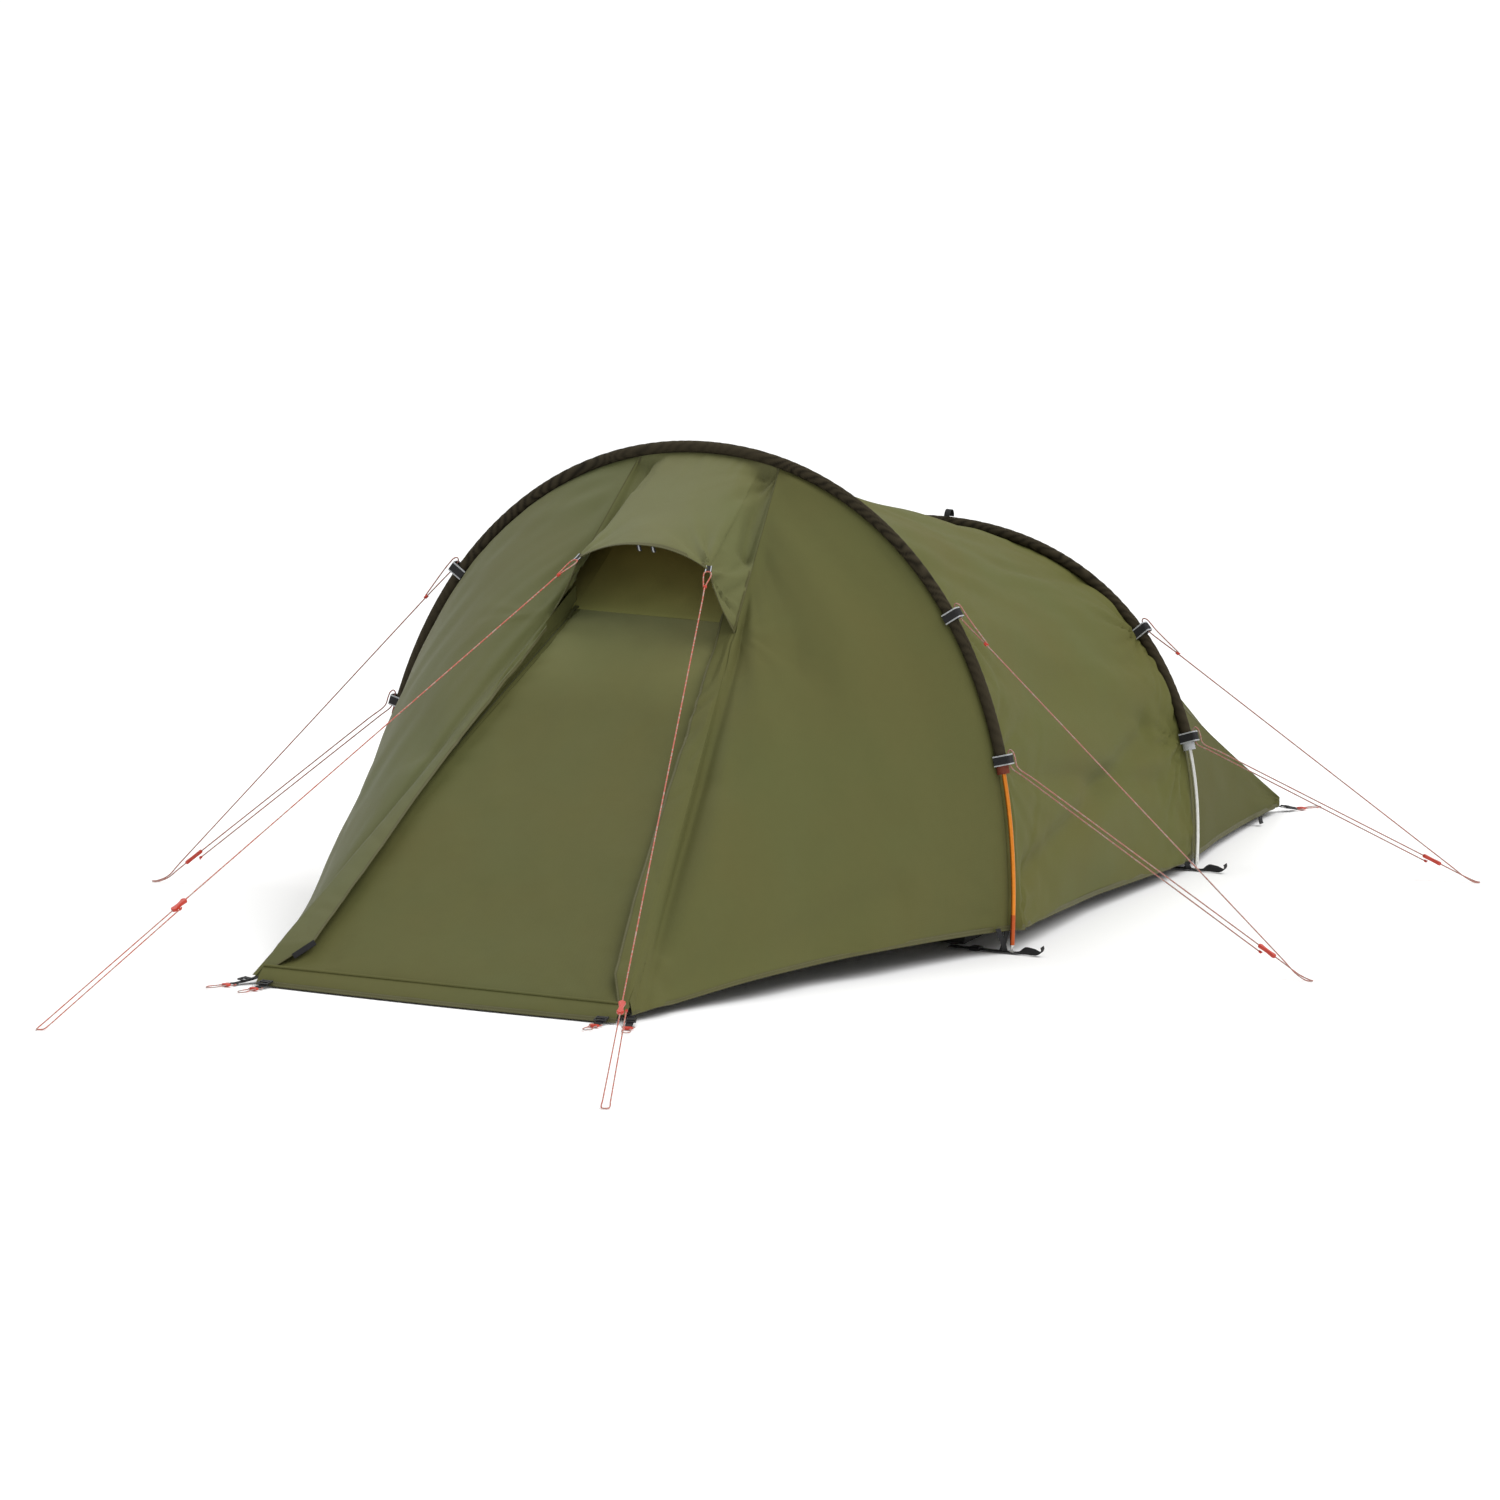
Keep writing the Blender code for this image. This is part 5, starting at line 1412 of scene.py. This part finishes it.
def smooth_route(route, steps):
    """Points read from a smooth curve (centripetal Catmull-Rom) through the route's own points."""
    ends = [route[0] * 2 - route[1], *route, route[-1] * 2 - route[-2]]
    out = []
    for k in range(1, len(ends) - 2):
        p0, p1, p2, p3 = ends[k - 1:k + 3]
        t1 = (p1 - p0).length ** 0.5
        t2 = t1 + (p2 - p1).length ** 0.5
        t3 = t2 + (p3 - p2).length ** 0.5
        for step in range(steps):
            t = t1 + (t2 - t1) * step / steps
            a1 = p0 * ((t1 - t) / t1) + p1 * (t / t1)
            a2 = p1 * ((t2 - t) / (t2 - t1)) + p2 * ((t - t1) / (t2 - t1))
            a3 = p2 * ((t3 - t) / (t3 - t2)) + p3 * ((t - t2) / (t3 - t2))
            b1 = a1 * ((t2 - t) / t2) + a2 * (t / t2)
            b2 = a2 * ((t3 - t) / (t3 - t1)) + a3 * ((t - t1) / (t3 - t1))
            out.append(b1 * ((t2 - t) / (t2 - t1)) + b2 * ((t - t1) / (t2 - t1)))
    return out + [route[-1]]


def loop_pass(hoop, z, side):
    """The cord's way through a webbing loop: over its outside, round its upper edge, back inside it."""
    shape = (
        (-0.0200, 0.0350), (0.0000, 0.0335), (0.0130, 0.0315), (0.0195, 0.0255),
        (0.0165, 0.0200), (0.0060, 0.0185), (-0.0080, 0.0185), (-0.0190, 0.0205),
    )
    centre, outward, along, _ = hoop_frame(hoop, angle_at_height(hoop, z))
    return [mirrored(centre + along * up + outward * out, side) for up, out in shape]


def peg_turn(peg, home, half=0.007):
    """The cord's turn round a peg, in two halves with the far point between them."""
    towards = Vector((home.x - peg.x, home.y - peg.y, 0)).normalized()
    beside = Vector((-towards.y, towards.x, 0))
    rise = Vector((0, 0, 0.0022))
    near = peg + towards * 0.010 + rise
    before = [peg + towards * PEG_REACH + beside * half + rise * 6, near + beside * half]
    after = [near - beside * half, peg + towards * PEG_REACH - beside * half + rise * 5]
    return before, peg + rise, after


def guy_route(guy):
    """One cord: knot, upper loop, knot, peg, slider, lower loop, and back to beside the slider."""
    hoop, side = guy["hoop"], guy["side"]
    peg = Vector((*guy["peg"], 0.0))
    upper, lower = (loop_pass(hoop, hoop["loops"][level], side) for level in ("upper", "lower"))
    way = (peg - upper[-1]).normalized()
    knot = upper[-1] + way * 0.075
    knot_side = (upper[0] - upper[-1]).normalized() * KNOT_TAIL
    before, far, after = peg_turn(peg, upper[0])
    start, end = after[-1], lower[0]
    climb = (end - start).normalized()
    slider = start + climb * (guy["slider"] - PEG_REACH)
    tail_side = (lower[-1] - lower[0]).cross(climb).cross(climb).normalized()
    if tail_side.dot(lower[-1] - lower[0]) < 0:
        tail_side.negate()
    tail_end = slider + climb * 0.012 + tail_side * (SLIDER_BULB + CORD_RADIUS + TAIL_GAP)
    run = before[0] - knot
    route = [knot + knot_side, *upper, knot, knot + run * 0.05, knot + run * 0.95]
    route += [*before, far, *after, start + climb * 0.04, end - climb * 0.05]
    back = tail_end - lower[-1]
    route += [*lower, lower[-1] + back * 0.06, lower[-1] + back * 0.9, tail_end]
    return route, slider, climb, knot, run


def awning_route(guy):
    """One cord: knot, hood corner, knot, slider, peg, and back to beside the slider."""
    peg = Vector((*guy["peg"], 0.0))
    corner = mirrored(AWNING_CORNER, guy["side"])
    way = (peg - corner).normalized()
    across = way.cross(Vector((0, 0, 1))).normalized()
    tab = corner + way * 0.014
    eye_shape = (
        (0.012, 0.0080), (0.0, 0.0072), (-0.0045, 0.0040), (-0.0055, 0.0),
        (-0.0045, -0.0040), (0.0, -0.0072), (0.012, -0.0080),
    )
    eye = [tab + way * forward + across * wide for forward, wide in eye_shape]
    knot = tab + way * 0.060
    before, far, after = peg_turn(peg, corner, half=0.008)
    run = before[0] - knot
    slider = knot + run * (1 - (guy["slider"] - PEG_REACH) / run.length)
    down = run.normalized()
    tail_side = (after[-1] - before[0]).normalized()
    tail_end = slider + down * 0.010 + tail_side * (SLIDER_BULB + CORD_RADIUS + TAIL_GAP)
    back = tail_end - after[-1]
    route = [knot + across * KNOT_TAIL, *eye, knot, knot + run * 0.03, knot + run * 0.97]
    route += [*before, far, *after, after[-1] + back * 0.08, after[-1] + back * 0.9, tail_end]
    return route, slider, down, knot, run


def peg_loop_route(fold, along, across, half):
    """A loop of cord through the tab's fold: out of one side, round, and in at the other."""
    level = Vector((along.x, along.y, 0)).normalized()
    shape = (
        (0.000, half + 0.0004), (0.001, half + 0.004), (0.007, half + 0.006), (0.018, 0.0095),
        (0.032, 0.0060), (0.050, 0.0085), (0.066, 0.0085), (0.076, 0.0),
    )
    points = [fold + level * forward + across * wide for forward, wide in shape]
    points += [fold + level * forward - across * wide for forward, wide in reversed(shape[:-1])]
    for point in points:
        point.z = max(point.z, PEG_CORD_RADIUS + 0.0005)
    return points


def cord_curve(name, route, radius, node, material, steps=8, pieces=(), bead=False):
    """A cord along a smooth route, its CAD part hidden. A bead pinches a loop that hangs loose."""
    points = smooth_route(route, steps)
    curve = bpy.data.curves.new(name, "CURVE")
    curve.dimensions = "3D"
    curve.bevel_depth = radius
    curve.bevel_resolution = 3
    curve.use_fill_caps = True
    spline = curve.splines.new("POLY")
    spline.points.add(len(points) - 1)
    for k, point in enumerate(points):
        spline.points[k].co = (*point, 1)
    curve.materials.append(material)
    obj = add_object(name, curve)
    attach(obj, "tent")
    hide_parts(node)
    extras = list(pieces)
    if bead:
        extras.append(cord_lock(name + "_lock", route))


def cord_lock(name, route):
    """A small red moulded sleeve that pinches the two strands of a peg loop."""
    one, other = route[3], route[-4]
    centre = (one + other) / 2
    along = (route[7] - centre).normalized()
    half = (one - other).length / 2 + 0.0022
    across = (one - other).normalized()
    profile = ((-0.0060, 0.7), (-0.0050, 0.95), (0, 1.0), (0.0050, 0.95), (0.0060, 0.7))
    sides = 16
    verts = []
    for shift, grow in profile:
        for k in range(sides):
            turn = 2 * math.pi * k / sides
            flat = half * grow * math.copysign(abs(math.cos(turn)) ** 0.7, math.cos(turn))
            rise = 0.0032 * grow * math.sin(turn)
            point = centre + along * shift + across * flat
            verts.append((point.x, point.y, max(0.0036 + rise, 0.0003)))
    obj = mesh_object(name, verts, capped_faces(len(profile), sides), RED)
    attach(obj, "tent")
    return obj


def knot_piece(name, place, direction, radius):
    """An overhand knot: a few tight turns of the cord round itself."""
    along = Vector(direction).normalized()
    side = along.orthogonal().normalized()
    other = along.cross(side)
    path = []
    turns, steps = 2.6, 44
    for k in range(steps + 1):
        t = k / steps
        angle = 2 * math.pi * turns * t
        ring = radius * (1.5 + 0.35 * math.sin(3 * angle))
        shift = (t - 0.5) * radius * 4.4
        spoke = side * (ring * math.cos(angle)) + other * (ring * math.sin(angle))
        path.append(place + along * shift + spoke)
    path.append(place + along * radius * 3.2 + side * radius * 3.0)
    return tube_mesh(name, path, radius, RED, sides=8)


def slider_outline(centre):
    """The runner's outline: a bulb at each end and a narrow waist."""
    count = 20
    half = []
    for k in range(count):
        turn = math.radians(-75 + 150 * k / (count - 1))
        half.append((centre + SLIDER_BULB * math.cos(turn), SLIDER_BULB * math.sin(turn)))
    for t in np.linspace(0.15, 0.85, 12):
        half.append((centre * (1 - 2 * t), 0.0045 + 0.0030 * (2 * abs(t - 0.5)) ** 2.5))
    return half + [(-a, -b) for a, b in half]


def slider_piece(name, place, along):
    """The moulded runner: a flat dog-bone with rounded edges, on a body of its own."""
    across = along.cross(Vector((0, 0, 1))).normalized()
    up = across.cross(along).normalized()
    centre = SLIDER_LENGTH / 2 - SLIDER_BULB
    outline = slider_outline(centre)
    half = 0.0036
    layers = ((-half, 0.90), (-half * 0.75, 1.0), (half * 0.75, 1.0), (half, 0.90))
    verts = []
    for depth, grow in layers:
        for a, b in outline:
            bulb = math.copysign(centre, a)
            forward = bulb + (a - bulb) * grow if abs(a) > centre else a
            verts.append(tuple(place + along * forward + across * (b * grow) + up * depth))
    obj = mesh_object(f"runner_{name}", verts, capped_faces(len(layers), len(outline)), RED)
    obj.data.set_sharp_from_angle(angle=math.radians(35))
    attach(obj, f"runner_{name}")
    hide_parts(f"guy_slider_{name}")
    return obj


def make_line(name, material, route, slider, along, knot, knot_way):
    """A guy line with its runner and its two knots."""
    runner = slider_piece(name, slider, along)
    tie = knot_piece(f"knot_{name}", knot, knot_way, CORD_RADIUS)
    end = knot_piece(f"tail_knot_{name}", route[-1], route[-1] - route[-2], CORD_RADIUS * 0.8)
    pieces = [runner, tie, end]
    cord_curve(f"guy_line_{name}", route, CORD_RADIUS, f"guy_cord_{name}", material, pieces=pieces)


def make_hood_tab(label, corner, along):
    """The webbing tab at a hood corner, with two reflective stripes."""
    across = along.cross(Vector((0, 0, 1))).normalized()
    back = corner - along * 0.012 + Vector((0, 0, 0.002))
    path = smooth_route([back, corner, corner + along * 0.006, corner + along * 0.0098], 3)
    ribbon(f"hood_tab_{label}", path, across, 0.015, WEBBING, thick=0.0012)
    for mark, shift in (("a", -0.0055), ("b", 0.0055)):
        stripe = [point + across * shift for point in path]
        ribbon(f"hood_tab_stripe_{label}_{mark}", stripe, across, 0.0022, REFLECTIVE, thick=0.0020)


def make_guy_lines():
    for name, guy in GUYS.items():
        make_line(name, CORD_PALE, *guy_route(guy))
    for label, guy in AWNING_GUYS.items():
        route, slider, along, knot, run = awning_route(guy)
        make_line(f"hood_{label}", CORD, route, slider, along, knot, run)
        make_hood_tab(label, mirrored(AWNING_CORNER, guy["side"]), along)


def make_zip_pulls():
    down = (DOOR_HINGE - DOOR_TOP).normalized()
    for label, _ in SIDES:
        paint(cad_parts[f"zip_slider_{label}"], ZIP)
        low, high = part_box(f"zip_slider_{label}")
        centre = (low + high) / 2
        shape = ((0.003, 0.0), (0.0055, 0.008), (0.004, 0.040))
        path = [centre + DOOR_NORMAL * lift + down * drop for lift, drop in shape]
        ribbon(f"zip_pull_{label}", smooth_route(path, 4), (1, 0, 0), 0.005, ZIP, body=f"zip_{label}")


def make_small_details():
    """The loop on the rear hoop's top, two toggles under the hood's edge, and the foot's hem tabs."""
    centre, outward, along, across = hoop_frame(REAR_HOOP, math.pi / 2 - 0.02)
    line = []
    for t in np.linspace(0, math.pi, 13):
        line.append(centre + across * (0.0125 * math.cos(t)) + outward * (0.0135 + 0.016 * math.sin(t)))
    ribbon("rear_hanging_loop", line, along, 0.014, WEBBING, thick=0.0013)
    for k, x in enumerate((-0.012, 0.022)):
        top = Vector((x, ARCH_TOP.y + 0.006, ARCH_TOP.z - 0.0015))
        bend, tip = top + Vector((0.002, -0.001, -0.006)), top + Vector((0.003, 0.002, -0.013))
        drop = smooth_route([top, bend, tip], 3)
        ribbon(f"arch_toggle_{k}", drop, (1, 0, 0), 0.010, WEBBING)
        ribbon(f"arch_toggle_stripe_{k}", drop, (1, 0, 0), 0.003, REFLECTIVE, thick=0.0020)
    hoop_foot = Vector((REAR_HOOP["half_width"], REAR_Y, REAR_HOOP["hem_z"]))
    hem_point = FOOT_CORNER.lerp(hoop_foot, 0.24) + Vector((0.002, 0, 0.006))
    for label, side in SIDES:
        start = mirrored(hem_point, side)
        bend, tip = start - Vector((0, 0, 0.008)), start - Vector((side * -0.003, 0, 0.0175))
        drop = smooth_route([start, bend, tip], 3)
        ribbon(f"hem_tab_{label}", drop, (0, 1, 0), 0.018, WEBBING, thick=0.0025)


make_camera()
make_studio()
make_guy_lines()
make_corner_tabs()
make_pole(FRONT_HOOP, ORANGE, ORANGE_DARK)
make_pole(REAR_HOOP, SILVER, SILVER)
make_sleeve(FRONT_HOOP, PATCH_RED)
make_sleeve(REAR_HOOP, PATCH_SILVER)
make_walls()
make_flaps()
make_hood()
make_skirt(make_door())
make_zips()
make_vent()
make_tunnel()
make_foot_sides()
make_foot_roof()
make_inner()
make_tub()
make_loops()
make_foot_straps()
make_zip_pulls()
make_small_details()
